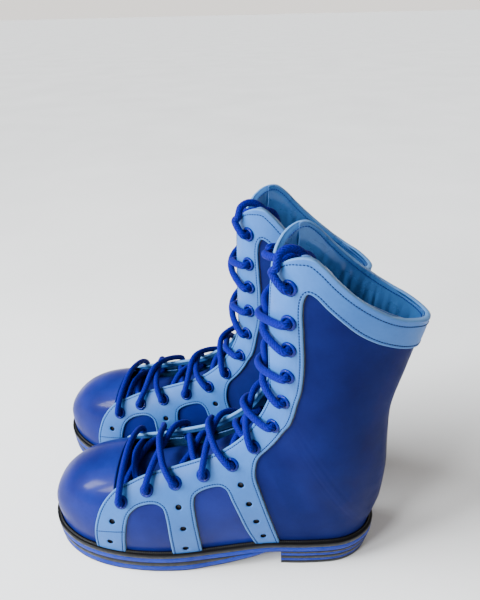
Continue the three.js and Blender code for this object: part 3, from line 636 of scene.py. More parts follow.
def vamp():
    stations = np.round(np.arange(0, 9.04, 0.05), 2)
    inner, outer = 20, 62
    k, s = over_the_front(stations, hem, inner, outer)
    middle = inner + outer

    def keep(i, j):
        return stations[i + 1] <= THROAT or not middle - inner <= j < middle + inner

    high = waves(signed(k, s, 0), 3, 60, 0.5)
    panel("vamp", k, s, high - LEATHER, high, keep, ROYAL, ["vamp"])


def quarter(name):
    side = SIDES[name]
    k = np.round(np.arange(9.03, 19.91, 0.08), 3)[:, None]
    start = band_outer(k, side)
    s = start + (hem(k) - start) * np.linspace(0, 1, 90)
    k = np.broadcast_to(k, s.shape)
    k = leaned(k, np.minimum(s, 1))
    flat = surface(k, s, side)
    seam = np.where(k > 13.2, -0.5 * np.exp(-(flat[..., 1] / 1.1) ** 2), 0)
    ankle = np.exp(-((k - 10.6) / 1.0) ** 2) * np.exp(-((s - 0.62) / 0.22) ** 2)
    folds = 0.55 * ankle * np.sin((k * 26 + s * 60) / 7.5)
    high = waves(flat, 11, 70, 0.7) + folds + seam
    top, bottom = lifted(k, s, side, high), lifted(k, s, side, high - LEATHER)
    points, faces = closed_sheet(top.reshape(-1, 3), bottom.reshape(-1, 3), grid_faces(*k.shape))
    points[:, 1] = side * np.maximum(side * points[:, 1], 0.05)
    points, faces, _ = merged(points, faces)
    piece(f"quarter_{name}", points, facing_out(points, faces), [ROYAL_MATT],
          nodes=[f"quarter_{name}"])


def wrinkle(k, s):
    """Upright creases of the lining, strongest behind the ankle and in the shaft."""
    from mathutils import noise
    out = np.zeros(k.shape)
    strength = np.clip((k - 11) / 3, 0.15, 1) * np.clip((np.abs(s) - 0.3) / 0.3, 0.1, 1)
    for i in np.ndindex(k.shape):
        drift = 1.6 * noise.noise((k[i] * 0.5, s[i] * 3, 4.0))
        fold = noise.noise((s[i] * 26 + drift, k[i] * 0.55, 9.0))
        pleat = noise.noise((s[i] * 60 + drift * 2, k[i] * 1.3, 2.0))
        out[i] = 1.5 * (0.5 - abs(fold) * 2) + 0.5 * pleat
    return out * strength


def lining():
    stations = np.unique(np.round(np.concatenate([np.arange(0.4, 12, 0.2), np.arange(12, 19.9, 0.075),
                                                  [THROAT, 19.9, 19.95, 19.98]]), 3))
    inner, outer = 10, 130
    k, s = over_the_front(stations, lambda v: hem(v) - 0.02 * (v < 13), inner, outer, 0.014)
    middle = inner + outer
    t = np.minimum(np.abs(s), 1)
    rim = np.clip((k - 19.2) / 0.6, 0, 1)
    k = leaned(k, t)

    def keep(i, j):
        return stations[i + 1] <= THROAT or not middle - inner <= j < middle + inner

    heel = np.where((k > 11) & (k < 15) & (t > 0.7), -0.6, 0)
    high = -3.6 + heel + wrinkle(k, s) * (1 - rim) * 0.8 + 1.9 * rim * rim * (3 - 2 * rim)
    panel("lining", k, s, high - 1.3, high, keep, LINING, ["lining"])


def stiffener(name, low_k, high_k, first_t, last_t, node):
    k = np.linspace(low_k, high_k, 60)[:, None]
    for_side = np.linspace(first_t, last_t, 50)
    s = np.hstack([-for_side[::-1], for_side if first_t else for_side[1:]])[None, :]
    k, s = np.broadcast_arrays(k, s)
    keep = None if first_t == 0 else (lambda i, j: j != len(for_side) - 1)
    panel(name, k, s, -2.7, -1.8, keep, BOARD, [node])


def heel_counter():
    """Stiffener between the quarters and the lining, in one piece round the heel."""
    k = np.concatenate([np.linspace(10.5, 16, 70)])[:, None]
    share = np.linspace(0, 1, 46)
    first, last = 0.62, 0.985
    across = np.hstack([-(first + (last - first) * share), (last - (last - first) * share)])
    k, s = np.broadcast_arrays(k, across[None, :])
    joined = len(share) - 1

    def keep(i, j):
        return j != joined or k[i, 0] > 13.6

    panel("heel_counter", k, s, -2.7, -1.8, keep, BOARD, ["heel_counter"])


def tongue():
    stations = np.arange(4.2, 17.01, 0.1)
    k = stations[:, None]
    share = np.linspace(0, 1, 24)
    halves = []
    for side in (-1, 1):
        edge = smooth(EYELET_LINE, np.maximum(k, 5)) + 0.03
        edge = edge + (0.3 - edge) * np.clip((5 - k) / 2.2, 0, 1)
        halves.append(side * edge * share)
    s = np.hstack([halves[0][:, :0:-1], halves[1]])
    k = np.broadcast_to(k, s.shape)
    drop = smooth([(4.2, 6), (5, 12), (5.7, 13.6), (20, 13.6)], k)
    high = -drop + waves(signed(k, s, 0), 5, 34, 1.0) + 0.6 * np.cos(s * 9)
    panel("tongue", k, s, high - 2.2, high, None, ROYAL_MATT, ["tongue"], body="tongue_flap")


# ---- the pale overlay: facing, three straps and collar band in one cut piece ----
def outline(side):
    """The overlay's closed outline as lines of (k, t), each with the kind of edge it is."""
    sections = [
        ("facing", FACING), ("collar", COLLAR_TOP), ("seam", [COLLAR_TOP[-1], COLLAR_FOOT[0]]),
        ("window", COLLAR_FOOT), ("sole", [COLLAR_FOOT[-1], BACK_WINDOW[0]]),
        ("window", BACK_WINDOW), ("sole", [BACK_WINDOW[-1], FRONT_WINDOW[0]]),
        ("window", FRONT_WINDOW), ("sole", [FRONT_WINDOW[-1], FRONT_EDGE[0]]), ("front", FRONT_EDGE),
    ]
    lines = []
    for kind, points in sections:
        line = pattern_line(points, side)
        at_sole = (line[:, 1] > 0.9995) & (line[:, 0] < 13)
        line[at_sole, 1] = 1.008
        lines.append((kind, line))
    return lines


def on_surface(line, side):
    return surface(line[:, 0], line[:, 1], side)


def distance_to(points, lines):
    """Distance of each point from the nearest of several 3-D polylines with short segments."""
    starts = np.vstack([line[:-1] for line in lines])
    ends = np.vstack([line[1:] for line in lines])
    tree = kdtree.KDTree(len(starts))
    for i, middle in enumerate((starts + ends) / 2):
        tree.insert(middle, i)
    tree.balance()
    near = np.array([[i for _, i, _ in tree.find_n(p, 3)] for p in points])
    a, b = starts[near], ends[near]
    run = b - a
    share = np.clip(((points[:, None] - a) * run).sum(-1) / np.maximum((run * run).sum(-1), 1e-9), 0, 1)
    return np.linalg.norm(points[:, None] - a - run * share[..., None], axis=-1).min(1)


def inside_outline(kt, loop):
    chunks = np.array_split(kt * CHART, max(len(kt) // 3000, 1))
    return np.concatenate([inside(chunk, loop * CHART) for chunk in chunks])


def hole_gap(points, holes, side):
    """Distance from the edge of the nearest hole, and the index of that hole."""
    centres = surface(holes[:, 0], holes[:, 1], side)
    gaps = np.linalg.norm(points[:, None] - centres, axis=-1) - holes[:, 2]
    return gaps.min(1), gaps.argmin(1)


EDGE_INSETS = (0.25, 0.6, 1.1, 1.6)
EDGE_SHAPE = ([0, 0.25, 0.6, 1.1, 1.7, 2.4], [1.5, 2.0, 2.36, 2.42, 2.32, 2.3])
HOLE_SHAPE = ([0, 0.4, 0.9], [-0.45, -0.1, 0])


def stitch_lines(sections, side):
    """Where the thread runs: beside the outer edges in one line, and beside each window."""
    kinds = dict()
    for kind, line in sections:
        kinds.setdefault(kind, []).append(line)
    facing, collar, front = kinds["facing"][0], kinds["collar"][0], kinds["front"][0]
    chain = np.vstack([front[:-1], facing[:-1], collar])
    p = on_surface(chain, side)
    run = np.concatenate([[0], np.cumsum(np.linalg.norm(np.diff(p, axis=0), axis=1))])
    start = run[len(front) + len(facing) - 2]
    share = np.clip((run - start) / 16, 0, 1)[:, None]
    distance = STITCH_INSET + (COLLAR_INSET - STITCH_INSET) * share * share * (3 - 2 * share)
    lines = [(chain, distance)] + [(line, STITCH_INSET) for line in kinds["window"]]
    edges = [on_surface(line, side) for kind, line in sections if kind not in ("seam", "sole")]
    placed_lines = []
    for line, distance in lines:
        moved = inset(line, side, distance)
        clear = distance_to(on_surface(moved, side), edges) > np.ravel(distance) - 0.15
        placed_lines.append(evenly(moved[clear], lambda kt: on_surface(kt, side), 0.8))
    return placed_lines


def overlay(name):
    side = SIDES[name]
    sections = outline(side)
    loop = np.vstack([line[:-1] for _, line in sections])
    free = [on_surface(line, side) for kind, line in sections
            if kind in ("facing", "window", "front", "collar")]
    hidden = [on_surface(line, side) for kind, line in sections if kind in ("sole", "seam")]
    threads = stitch_lines(sections, side)
    eyes = [(k, float(smooth(EYELET_LINE, k)), EYELET_HOLE) for k in EYELETS]
    holes = np.array(eyes + [(k, t, PUNCH_RADIUS) for k, t in PUNCHES])

    inner, least = [], []
    for kind, line in sections:
        if kind in ("facing", "window", "front", "collar"):
            for distance in EDGE_INSETS:
                inner.append(inset(line, side, distance))
                least.append(np.full(len(line), distance - 0.06))
    for line in threads:
        for shift in (-0.45, 0, 0.45, 1.1):
            inner.append(inset(line, side, shift))
            least.append(np.full(len(line), 1.75))
    for k, t, radius in holes:
        for grow in ((0.9, 2.2, 3.6) if radius == EYELET_HOLE else (0.4, 0.9)):
            ring = ring_at(k, t, side, radius + grow, 24)
            inner.append(ring)
            least.append(np.full(len(ring), 1.75))
    grid_k, grid_t = np.meshgrid(np.arange(4, 20, 0.11), np.arange(0.05, 1, 0.021))
    grid_k = grid_k + 0.055 * (np.arange(grid_k.shape[0]) % 2)[:, None]
    grid = np.column_stack([grid_k.ravel(), grid_t.ravel()])
    inner.append(grid)
    least.append(np.full(len(grid), 3.6))
    inner, least = np.vstack(inner), np.concatenate(least)
    on_grid = np.arange(len(inner)) >= len(inner) - len(grid)

    inside_it = (inner[:, 1] < 1) & inside_outline(inner, loop)
    inner, least, on_grid = inner[inside_it], least[inside_it], on_grid[inside_it]
    p = on_surface(inner, side)
    gap, _ = hole_gap(p, holes, side)
    stitch_gap = distance_to(p, [on_surface(line, side) for line in threads])
    keep = (distance_to(p, free) > least) & (distance_to(p, hidden) > 0.35) & (gap > 0.3)
    keep &= ~on_grid | ((gap > 1.6) & (stitch_gap > 1.8))
    inner = inner[keep]

    loops = [loop] + [ring_at(k, t, side, r, 28 if r == EYELET_HOLE else 20) for k, t, r in holes]
    edges, start = [], 0
    for ring in loops:
        edges += [(start + i, start + (i + 1) % len(ring)) for i in range(len(ring))]
        start += len(ring)
    flat = np.vstack(loops + [inner]) * CHART
    verts, _, faces, *_ = geometry.delaunay_2d_cdt([Vector(v) for v in flat], edges, [], 0, 1e-5)
    kt = np.array([tuple(v) for v in verts]) / CHART
    faces = np.array([tuple(face) for face in faces])
    middle = kt[faces].mean(1)
    gap, _ = hole_gap(on_surface(middle, side), holes, side)
    faces = faces[inside_outline(middle, loop) & (gap > 0)]

    used = np.unique(faces)
    index = np.zeros(len(kt), int)
    index[used] = np.arange(len(used))
    kt, faces = kt[used], [tuple(int(v) for v in face) for face in index[faces]]
    p = on_surface(kt, side)
    edge = distance_to(p, free)
    groove = distance_to(p, [on_surface(line, side) for line in threads])
    gap, which = hole_gap(p, holes, side)
    in_eyelet = which < len(EYELETS)
    high = np.interp(edge, *EDGE_SHAPE) - 0.3 * np.exp(-(groove / 0.34) ** 2)
    high += np.where(in_eyelet, -0.25 * np.exp(-(gap / 3.4) ** 2), np.interp(gap, *HOLE_SHAPE))
    in_band = kt[:, 1] < band_outer(kt[:, 0], side) - 0.004
    collar_line = [on_surface(line, side) for kind, line in sections if kind == "collar"]
    wraps = distance_to(p, collar_line) < 1.4
    thin = np.clip(edge / 3, 0, 1)
    low = np.where(in_band, -0.3 - 2.9 * thin * thin * (3 - 2 * thin), np.where(wraps, -1.7, 0.05))
    n = outward(kt[:, 0], kt[:, 1], side)
    points, all_faces = closed_sheet(p + n * high[:, None], p + n * low[:, None], faces)
    points[:, 1] = side * np.maximum(side * points[:, 1], 0.05)

    kinds = np.zeros(len(all_faces), int)
    for i in range(len(faces), len(all_faces)):
        corners = [v % len(kt) for v in all_faces[i]]
        if i < 2 * len(faces):
            kinds[i] = 1 if in_band[corners].all() else 0
        # the walls of the punched holes get the near-black painted shade of the hole
        elif not in_eyelet[corners[0]] and gap[corners[0]] < 0.2:
            kinds[i] = 2
    fields = {"edge": np.tile(edge, 2), "groove": np.tile(groove, 2)}
    piece(f"overlay_{name}", points, facing_out(points, all_faces), [PALE, LINING, PAINTED_SHADE],
          nodes=[f"overlay_{name}"], kinds=kinds, fields=fields)

    seams = [(line, 2.24) for line in threads]
    seams.append((pattern_line(STRAP_SEAM, side), 2.36))
    stitches(f"overlay_stitching_{name}", seams, side, THREAD)
    windows = [line for kind, line in sections if kind == "window"]
    # a thin near-black strip on the leather beside each window's edge: painted shadow cast by the overlay's
    # edge
    window_shadow_profile = [(-0.75, 0.0), (-0.7, 0.28), (-0.35, 0.42), (0.5, 0.42), (0.5, -0.1)]
    moulding(f"window_edging_{name}", windows, side, window_shadow_profile, PAINTED_SHADE)
    # near-black discs under the punched holes: painted shade at the bottom of each hole, over the leather
    # beneath
    punch_shade_sites = [(k, t, PUNCH_RADIUS + 0.6) for k, t in PUNCHES]
    discs(f"perforation_backing_{name}", punch_shade_sites, side, 0.35, PAINTED_SHADE)


def moulding(name, lines, side, profile, look):
    """A narrow strip of constant section along each line. Offsets are to the left of the line."""
    points, faces, start = [], [], 0
    m = len(profile)
    for line in lines:
        rows = [lifted(*inset(line, side, offset).T, side, height) for offset, height in profile]
        points.append(np.stack(rows, 1).reshape(-1, 3))
        n = len(line)
        for i in range(n - 1):
            for j in range(m):
                a, b = start + i * m + j, start + i * m + (j + 1) % m
                faces.append((a, b, b + m, a + m))
        faces.append(tuple(start + j for j in reversed(range(m))))
        faces.append(tuple(start + (n - 1) * m + j for j in range(m)))
        start += n * m
    points = np.vstack(points)
    piece(name, points, facing_out(points, faces), [look])


def discs(name, sites, side, height, look):
    points, faces, start = [], [], 0
    for k, t, radius in sites:
        ring = ring_at(k, t, side, radius, 20)
        centre = np.array([[k, t]])
        for level in (height, 0.02):
            points += [lifted(*ring.T, side, level), lifted(*centre.T, side, level)]
        for j in range(20):
            following = (j + 1) % 20
            faces.append((start + j, start + following, start + 20))
            faces.append((start + 21 + following, start + 21 + j, start + 41))
            faces.append((start + following, start + j, start + 21 + j, start + 21 + following))
        start += 42
    points = np.vstack(points)
    piece(name, points, facing_out(points, faces), [look])


def stitches(name, seams, side, look, pitch=STITCH_PITCH, length=1.5, width=0.95, body="boot"):
    """Short rounded stitches along lines of (k, t), each at its own height."""
    rings = [(-0.5, 0.3), (-0.36, 0.85), (0, 1.0), (0.36, 0.85), (0.5, 0.3)]
    sides = 6
    shape, faces_of_one = [], []
    for x, r in rings:
        for j in range(sides):
            angle = 2 * math.pi * j / sides
            shape.append((x * length, r * width / 2 * math.cos(angle), r * width / 2 * math.sin(angle)))
    for i in range(len(rings) - 1):
        for j in range(sides):
            a, b = i * sides + j, i * sides + (j + 1) % sides
            faces_of_one.append((a, b, b + sides, a + sides))
    faces_of_one.append(tuple(reversed(range(sides))))
    faces_of_one.append(tuple(range((len(rings) - 1) * sides, len(rings) * sides)))
    shape = np.array(shape)
    points, faces = [], []
    for line, height in seams:
        which = np.full(len(line), side) if np.isscalar(side) else side
        at = evenly(line, lambda kt: on_surface(kt, which[0]), pitch)
        at = (at[:-1] + at[1:]) / 2
        p = lifted(at[:, 0], at[:, 1], which[0], height)
        n = outward(at[:, 0], at[:, 1], which[0])
        x = unit(np.gradient(p, axis=0))
        x = unit(x - n * (x * n).sum(-1, keepdims=True))
        y = np.cross(n, x)
        for i in range(len(at)):
            start = len(points) * len(shape)
            points.append(p[i] + shape[:, :1] * x[i] + shape[:, 1:2] * y[i] + shape[:, 2:] * n[i])
            faces += [tuple(v + start for v in face) for face in faces_of_one]
    points = np.vstack(points)
    piece(name, points, facing_out(points, faces), [look], body)


def seam_stitches():
    for name, side in SIDES.items():
        back = np.column_stack([np.linspace(13.4, 18.55, 80), np.full(80, 1.0)])
        beside = inset(back, side, -2.6 if side < 0 else -2.6)
        stitches(f"back_seam_stitching_{name}", [(beside, 0.08)], side, THREAD)
        rim = pattern_line(COLLAR_TOP, side)
        within = inset(rim, side, 3.2)
        stitches(f"lining_stitching_{name}", [(within, -3.35)], side, BLUE_THREAD)


# ---- eyelets and lace ----
def eyelets(name):
    side = SIDES[name]
    k = np.array(EYELETS)
    t = smooth(EYELET_LINE, k)
    p, n = surface(k, t, side), outward(k, t, side)
    along, _ = tangents(k, t, side)
    x = unit(along - n * (along * n).sum(-1, keepdims=True))
    y = np.cross(n, x)
    profile = [(5.85, 1.9), (6.0, 2.5), (5.85, 2.95), (5.4, 3.4), (4.8, 3.65), (4.2, 3.6), (3.7, 3.2),
               (3.4, 2.5), (3.3, 1.4), (3.3, -3.2), (4.6, -3.6), (4.7, -3.3), (3.9, -2.9), (3.9, 1.9)]
    turns = 36
    angle = np.linspace(0, 2 * math.pi, turns, endpoint=False)
    r, h = np.array(profile).T
    radial = x[:, None] * np.cos(angle)[:, None] + y[:, None] * np.sin(angle)[:, None]
    points = (p[:, None, None] + n[:, None, None] * h[:, None, None] + radial[:, None] * r[:, None, None])
    faces = []
    m = len(profile)
    for site in range(len(k)):
        for level in range(m):
            for j in range(turns):
                a = (site * m + level) * turns
                b = (site * m + (level + 1) % m) * turns
                faces.append((a + j, a + (j + 1) % turns, b + (j + 1) % turns, b + j))
    points = points.reshape(-1, 3)
    piece(f"eyelets_{name}", points, facing_out(points, faces), [ENAMEL],
          nodes=[f"eyelets_{name}"])


def at(k, t, side, height):
    return lifted(np.array([k]), np.array([t]), side, height)[0]


def crossing(first, last, k, side, height, share):
    """Where a strand between two eyelets passes the front line, or the facing's edge on one side."""
    lower, upper = (at(station, float(smooth(EYELET_LINE, station)), 1, 0) for station in k)
    row = unit(upper - lower)
    stations = np.linspace(k[0] - 4, k[1] + 2, 240)
    t = smooth(FACING_EDGE, stations) if side else np.zeros(240)
    off = np.abs((surface(stations, t, side or 1) - first - (last - first) * share) @ row)
    best = int(off.argmin())
    return at(stations[best], float(t[best]), side or 1, height)


def lace_strand(start):
    """From the first eyelet up: down a hole, across inside to the next one, out, and across outside."""
    points, side = [], start
    under = (-5.4, -8.2 + start * 2.8)
    over = (6.2, 4.4 - start * 2.9)
    for i, k in enumerate(EYELETS):
        t = float(smooth(EYELET_LINE, k))
        through = [at(k, t, side, height) for height in (7.0, 0.5, -5.4)]
        points += through if i % 2 == 0 else through[::-1]
        if i < 11:
            pair = (k, EYELETS[i + 1])
            edge, middle = under if i % 2 == 0 else over
            first, last = points[-1], at(pair[1], float(smooth(EYELET_LINE, pair[1])), -side, edge)
            slack = 0.5 * math.sin(i * 2.3)
            points.append(crossing(first, last, pair, side, edge, 0.25))
            points.append(crossing(first, last, pair, 0, middle + slack, 0.5))
            points.append(crossing(first, last, pair, -side, edge, 0.75))
            side = -side
    return points


# one end goes over its collar corner, the other round the front, both into the shaft; as on the left boot
CORNER_TAIL = [(54.3, -27.2, 293.2), (56.2, -23, 300.6), (61.6, -19, 303.4), (69, -16, 301), (79, -13, 287),
               (84, -11.3, 248)]
FRONT_TAIL = [(49.5, 26, 281.5), (46.3, 17.5, 283), (51, 5, 286.5), (59, -2, 290), (69, 1, 291), (79, 8, 285),
              (84, 11.3, 248)]


def lace_route(hand):
    """End to end along one lace. The end over the corner is the left-hand one of each boot as it's worn."""
    corner, front = ([(x, y * hand, z) for x, y, z in tail] for tail in (CORNER_TAIL, FRONT_TAIL))
    bar = [at(5.22, 0.34, -hand, 6.2), at(5.22, 0, 1, 5.4), at(5.22, 0.34, hand, 6.2)]
    to_front = lace_strand(-hand) + [at(18.2, 0.13, hand, 7.2)] + front
    to_corner = lace_strand(hand) + [at(18.6, 0.16, -hand, 7.5)] + corner
    return np.array(to_front[::-1] + bar + to_corner)


def swept(centre, radius, sides):
    """Frames along a line, turned as little as possible, and the points round it."""
    run = unit(np.gradient(centre, axis=0))
    across = np.array([0.0, 1.0, 0.0])
    first, second = [], []
    for along in run:
        across = across - along * (across @ along)
        across /= np.linalg.norm(across)
        first.append(across)
        second.append(np.cross(along, across))
    first, second = np.array(first)[:, None], np.array(second)[:, None]
    angle = np.linspace(0, 2 * math.pi, sides, endpoint=False)[None, :, None]
    return centre[:, None] + radius[..., None] * (first * np.cos(angle) + second * np.sin(angle))


def tube_faces(rows, sides):
    """The faces of a tube of rings, closed at both ends."""
    faces = []
    for i in range(rows - 1):
        here, after = i * sides, (i + 1) * sides
        for j in range(sides):
            turn = (j + 1) % sides
            faces.append((here + j, here + turn, after + turn, after + j))
    return faces + [tuple(reversed(range(sides))), tuple((rows - 1) * sides + j for j in range(sides))]


def lace(boot):
    """The braided lace of one boot and its two tips."""
    route = lace_route(BOOTS[boot][3])
    centre = evenly(spline(route, 16), lambda q: q, 0.5)
    strands, sides, lay = 8, 32, 18.0
    run = np.arange(len(centre))[:, None] * 0.5
    angle = np.linspace(0, 1, sides, endpoint=False)[None, :] * strands
    u, v = angle + run * strands / lay, angle - run * strands / lay
    over = (np.floor(u) + np.floor(v)) % 4 < 2
    strand = np.where(over, np.sin(math.pi * (u % 1)), np.sin(math.pi * (v % 1)))
    points = swept(centre, LACE_RADIUS - 0.34 + 0.46 * strand, sides)
    n = len(centre)
    faces = tube_faces(n, sides)
    points = points.reshape(-1, 3)
    cord = piece("lace", points, facing_out(points, faces), [LACE], nodes=["lace"],
                 fields={"strand": strand.ravel()}, boots=[boot])[0]
    tips = []
    for number, (end, before) in enumerate(((route[0], route[1]), (route[-1], route[-2])), 1):
        away = unit(end - before)
        reach = np.array([0, 0.6, 14.5, 16.5, 17.6, 18.0])
        radius = np.array([2.55, 2.35, 2.1, 1.9, 1.3, 0.3])
        tip = swept(end + away * reach[:, None], np.repeat(radius[:, None], 20, 1), 20).reshape(-1, 3)
        faces = tube_faces(len(reach), 20)
        tips += piece(f"aglet_{number}", tip, facing_out(tip, faces), [PLASTIC],
                      nodes=[f"aglet_{number}"], boots=[boot])


# ---- sole ----
def sole_top(x):
    return smooth(SOLE_TOP, x) - 0.3


def under_welt(x):
    return sole_top(x) - WELT


def under_midsole(x):
    return under_welt(x) - MIDSOLE


def fade(x, start, end):
    s = np.clip((x - start) / (end - start), 0, 1)
    return 1 - s * s * (3 - 2 * s)


def forefoot(share):
    """Height of the joint that lies at that share of the layers under the midsole."""
    def height(x):
        rest = np.maximum(under_midsole(x) - smooth(SOLE_BOTTOM, x) - OUTSOLE * fade(x, 0, 60), 0.15)
        taken = share if share in (0, 1) else share * fade(x, 0, 52)
        return under_midsole(x) - rest * taken
    return height


def outline_points(k, side, out):
    x, w = feather(k, side)
    nx, nw = feather_normal(k, side)
    y = np.where((k <= 0) | (k >= 13), 0, np.maximum(w + nw * out, 0))
    return x + nx * out, side * y


def slab(name, first, last, out_top, out_bottom, top, bottom, look, slot, nodes=(), bevel=0.5, body="boot"):
    """A sole layer between two heights, its edges rounded."""
    k = np.linspace(first, last, int((last - first) * 28) + 2)
    if first == 0:
        k = np.unique(np.concatenate([k, np.linspace(0, 0.4, 16)]))
    if last == 13:
        k = np.unique(np.concatenate([k, np.linspace(12.6, 13, 16)]))
    x = feather(k, -1)[0]
    z_top, z_bottom = top(x), bottom(x)
    round_off = np.minimum(bevel, (z_top - z_bottom) * 0.35)
    profile = [(out_top, -1.6, z_top, 0), (out_top, -1, z_top, 0), (out_top, -0.3, z_top, -0.3),
               (out_top, 0, z_top, -1), (out_bottom, 0, z_bottom, 1), (out_bottom, -0.3, z_bottom, 0.3),
               (out_bottom, -1, z_bottom, 0), (out_bottom, -1.6, z_bottom, 0)]
    rings = []
    for out, inward, z, rise in profile:
        ring = []
        for side in (-1, 1):
            px, py = outline_points(k, side, out + inward * bevel)
            ring.append(np.column_stack([px, py, z + rise * round_off])[::-side or 1])
        rings.append(np.vstack([ring[0], ring[1]]))
    n, m = len(k), 2 * len(k)
    points = np.vstack(rings)
    faces = []
    for level in range(len(rings) - 1):
        for i in range(m):
            a, b = level * m + i, level * m + (i + 1) % m
            faces.append((a, b, b + m, a + m))
    base = (len(rings) - 1) * m
    for i in range(n - 1):
        faces.append((i, m - 1 - i, m - 2 - i, i + 1))
        faces.append((base + i, base + i + 1, base + m - 2 - i, base + m - 1 - i))
    points, faces, _ = merged(points, faces)
    piece(name, points, facing_out(points, faces), [look], body, nodes)


def welt():
    """Welt with a knurled bead against the upper."""
    profile = [(-3.0, -0.4), (-0.4, -0.3), (0.0, 0.3), (0.45, 0.8), (1.05, 0.95), (1.6, 0.65), (1.9, 0.1),
               (2.3, -0.15), (3.4, -0.2), (3.95, -0.4), (WELT_WIDTH, -0.85), (WELT_WIDTH, -WELT + 0.1),
               (WELT_WIDTH - 0.25, -WELT - 0.2), (-3.0, -WELT - 0.2)]
    ribs = np.array([0, 0, 0.3, 0.7, 1, 0.8, 0.4, 0.15, 0.15, 0.1, 0, 0, 0, 0])
    dense = np.linspace(0, 13, 1400)
    halves = []
    for side in (-1, 1):
        x, w = feather(dense, side)
        line = evenly(np.column_stack([dense, x, w]), lambda q: q[:, 1:], 0.38)
        halves.append((line[:, 0], side))
    rows = []
    phase = 0
    for k, side in (halves[0], (halves[1][0][::-1], 1)):
        x = feather(k, side)[0]
        wave = np.cos((np.arange(len(k)) + phase) * 0.38 * 2 * math.pi / 1.6)
        row = []
        for (out, drop), rib in zip(profile, ribs):
            px, py = outline_points(k, side, out + 0.12 * rib * wave)
            row.append(np.column_stack([px, py, smooth(SOLE_TOP, x) + drop + 0.2 * rib * wave]))
        rows.append(np.stack(row, 1)[:-1])
        phase += len(k) - 1
    points = np.vstack(rows)
    n, m = points.shape[:2]
    faces = []
    for i in range(n):
        for j in range(m):
            a, b = i * m + j, i * m + (j + 1) % m
            c, d = (i + 1) % n * m + j, (i + 1) % n * m + (j + 1) % m
            faces.append((a, b, d, c))
    points = points.reshape(-1, 3)
    piece("welt", points, facing_out(points, faces), [BLACK], nodes=["welt"])


def sole():
    welt()
    w = WELT_WIDTH
    slab("upper_midsole", 0, 13, w, w - 0.3, under_welt, under_midsole, BLUE_SOLE, "blue_sole",
         ["upper_midsole"])
    layers = [("middle_midsole", 0, 0.47, w - 0.3, w - 0.6, BLACK, "black_rubber"),
              ("lower_midsole", 0.47, 1, w - 0.5, w - 1.1, BLUE_SOLE, "blue_sole")]
    for name, above, below, out_top, out_bottom, look, slot in layers:
        slab(name, 0, HEEL_FRONT, out_top, out_bottom, forefoot(above), forefoot(below), look, slot, [name])
    slab("outsole", 0, WAIST_END, w - 1.1, w - 2.2, forefoot(1),
         lambda x: np.minimum(smooth(SOLE_BOTTOM, x), forefoot(1)(x) - 0.3), BLACK,
         "black_rubber", ["outsole"])
    height = float(under_midsole(100.0))
    level = height
    lifts = (*HEEL_LIFTS, height - sum(HEEL_LIFTS))
    names = ("heel_lift_upper_black", "heel_lift_upper_blue", "heel_lift_lower_black", "heel_lift_lower_blue",
             "top_lift")
    for i, (name, thick) in enumerate(zip(names, lifts)):
        low = 0.0 if i == 4 else level - thick
        out = [w - 0.3 - 4.2 * (height - z) / height for z in (level, low)]
        top = under_midsole if i == 0 else (lambda x, z=level: np.full(np.shape(x), z))
        slab(name, HEEL_FRONT, 13, *out, top, lambda x, z=low: np.full(np.shape(x), z),
             BLUE_SOLE if i % 2 else BLACK, "blue_sole" if i % 2 else "black_rubber", [name])
        level = low
    slab("insole_cover", 0.5, 12.5, -5.4, -5.4, lambda x: sole_top(x) + 4.2, lambda x: sole_top(x) + 2.6,
         LINING, "lining_leather", ["insole_cover"])


def inner_pieces():
    """Pieces that stay hidden inside the boots keep their CAD shape and get a finish."""
    looks = {"cork_filler": CORK, "insole_board": BOARD, "shank": STEEL}
    for boot in BOOTS:
        for name, look in looks.items():
            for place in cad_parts[f"{boot}_{name}"].material_slots:
                place.material = look


# ---- stage ----
def camera():
    """Stands in front of the left boot's lateral side and looks down at the pair."""
    pitch, yaw, roll = (math.radians(v) for v in (29.78, -5.02, -1.34))
    forward = Vector((math.sin(yaw) * math.cos(pitch), math.cos(yaw) * math.cos(pitch), -math.sin(pitch)))
    level = Vector((math.cos(yaw), -math.sin(yaw), 0))
    upright = level.cross(forward)
    right = level * math.cos(roll) + upright * math.sin(roll)
    up = upright * math.cos(roll) - level * math.sin(roll)
    data = bpy.data.cameras.new("camera")
    data.lens, data.sensor_width = 30.08, 36
    data.clip_start, data.clip_end = 0.01, 400
    obj = bpy.data.objects.new("camera", data)
    turn = Matrix((right, up, -forward)).transposed().to_4x4()
    obj.matrix_world = Matrix.Translation((0.06258, -0.36649, 0.4344)) @ turn
    bpy.context.scene.collection.objects.link(obj)
    bpy.context.scene.camera = obj


def softbox(name, place, aim, size, power, colour):
    data = bpy.data.lights.new(name, "AREA")
    data.shape = "RECTANGLE"
    data.size, data.size_y = size
    data.energy = power
    data.color = colour
    obj = bpy.data.objects.new(name, data)
    obj.location = place
    obj.rotation_mode = "QUATERNION"
    obj.rotation_quaternion = (Vector(aim) - Vector(place)).to_track_quat("-Z", "Y")
    bpy.context.scene.collection.objects.link(obj)


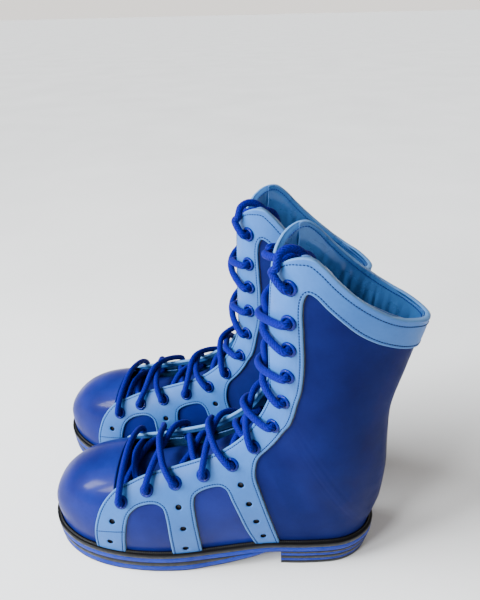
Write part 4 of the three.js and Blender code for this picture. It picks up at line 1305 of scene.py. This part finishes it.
def studio():
    mesh = bpy.data.meshes.new("floor")
    half = 150
    corners = [(-half, -half, 0), (half, -half, 0), (half, half, 0), (-half, half, 0)]
    mesh.from_pydata(corners, [], [(0, 1, 2, 3)])
    floor = bpy.data.objects.new("floor", mesh)
    bpy.context.scene.collection.objects.link(floor)
    look = Look("pale_floor")
    clouds = look.spread(look.noise(3, 3), 0.3, 0.7)
    look.feed("Base Color", look.mix(clouds, rgb(232, 232, 232), rgb(240, 240, 240)))
    look.feed("Roughness", look.spread(look.noise(30, 2), 0.3, 0.7, 0.75, 0.9))
    mesh.materials.append(look.material)
    world = bpy.data.worlds.new("studio")
    world.use_nodes = True
    tree = world.node_tree
    background = tree.nodes["Background"]
    background.inputs["Color"].default_value = (1.0, 0.95, 0.9, 1)
    place = tree.nodes.new("ShaderNodeTexCoord")
    parts = tree.nodes.new("ShaderNodeSeparateXYZ")
    haze = tree.nodes.new("ShaderNodeMapRange")
    for socket, value in (("From Min", 0.04), ("From Max", 0.25), ("To Min", 1.5), ("To Max", 0.42)):
        haze.inputs[socket].default_value = value
    tree.links.new(place.outputs["Generated"], parts.inputs["Vector"])
    tree.links.new(parts.outputs["Z"], haze.inputs["Value"])
    tree.links.new(haze.outputs["Result"], background.inputs["Strength"])
    bpy.context.scene.world = world
    data = bpy.data.lights.new("daylight", "SUN")
    data.energy, data.angle, data.color = 9.5, math.radians(40), (0.93, 0.97, 1.0)
    daylight = bpy.data.objects.new("daylight", data)
    daylight.visible_glossy = False
    daylight.rotation_mode = "QUATERNION"
    daylight.rotation_quaternion = Vector((0.84, 0.12, -0.58)).to_track_quat("-Z", "Y")
    bpy.context.scene.collection.objects.link(daylight)
    softbox("window_left", (-1.05, -0.55, 0.75), (-0.1, -0.05, 0.1), (0.28, 0.36), 15, (0.95, 0.98, 1.0))
    softbox("window_right", (-0.72, -0.85, 0.75), (-0.1, -0.05, 0.1), (0.28, 0.36), 15, (0.95, 0.98, 1.0))


camera()
vamp()
for part in SIDES:
    quarter(part)
    overlay(part)
    eyelets(part)
lining()
tongue()
heel_counter()
stiffener("toe_puff", 0.5, 2.6, 0, 0.985, "toe_puff")
seam_stitches()
for boot in BOOTS:
    lace(boot)
sole()
inner_pieces()
studio()
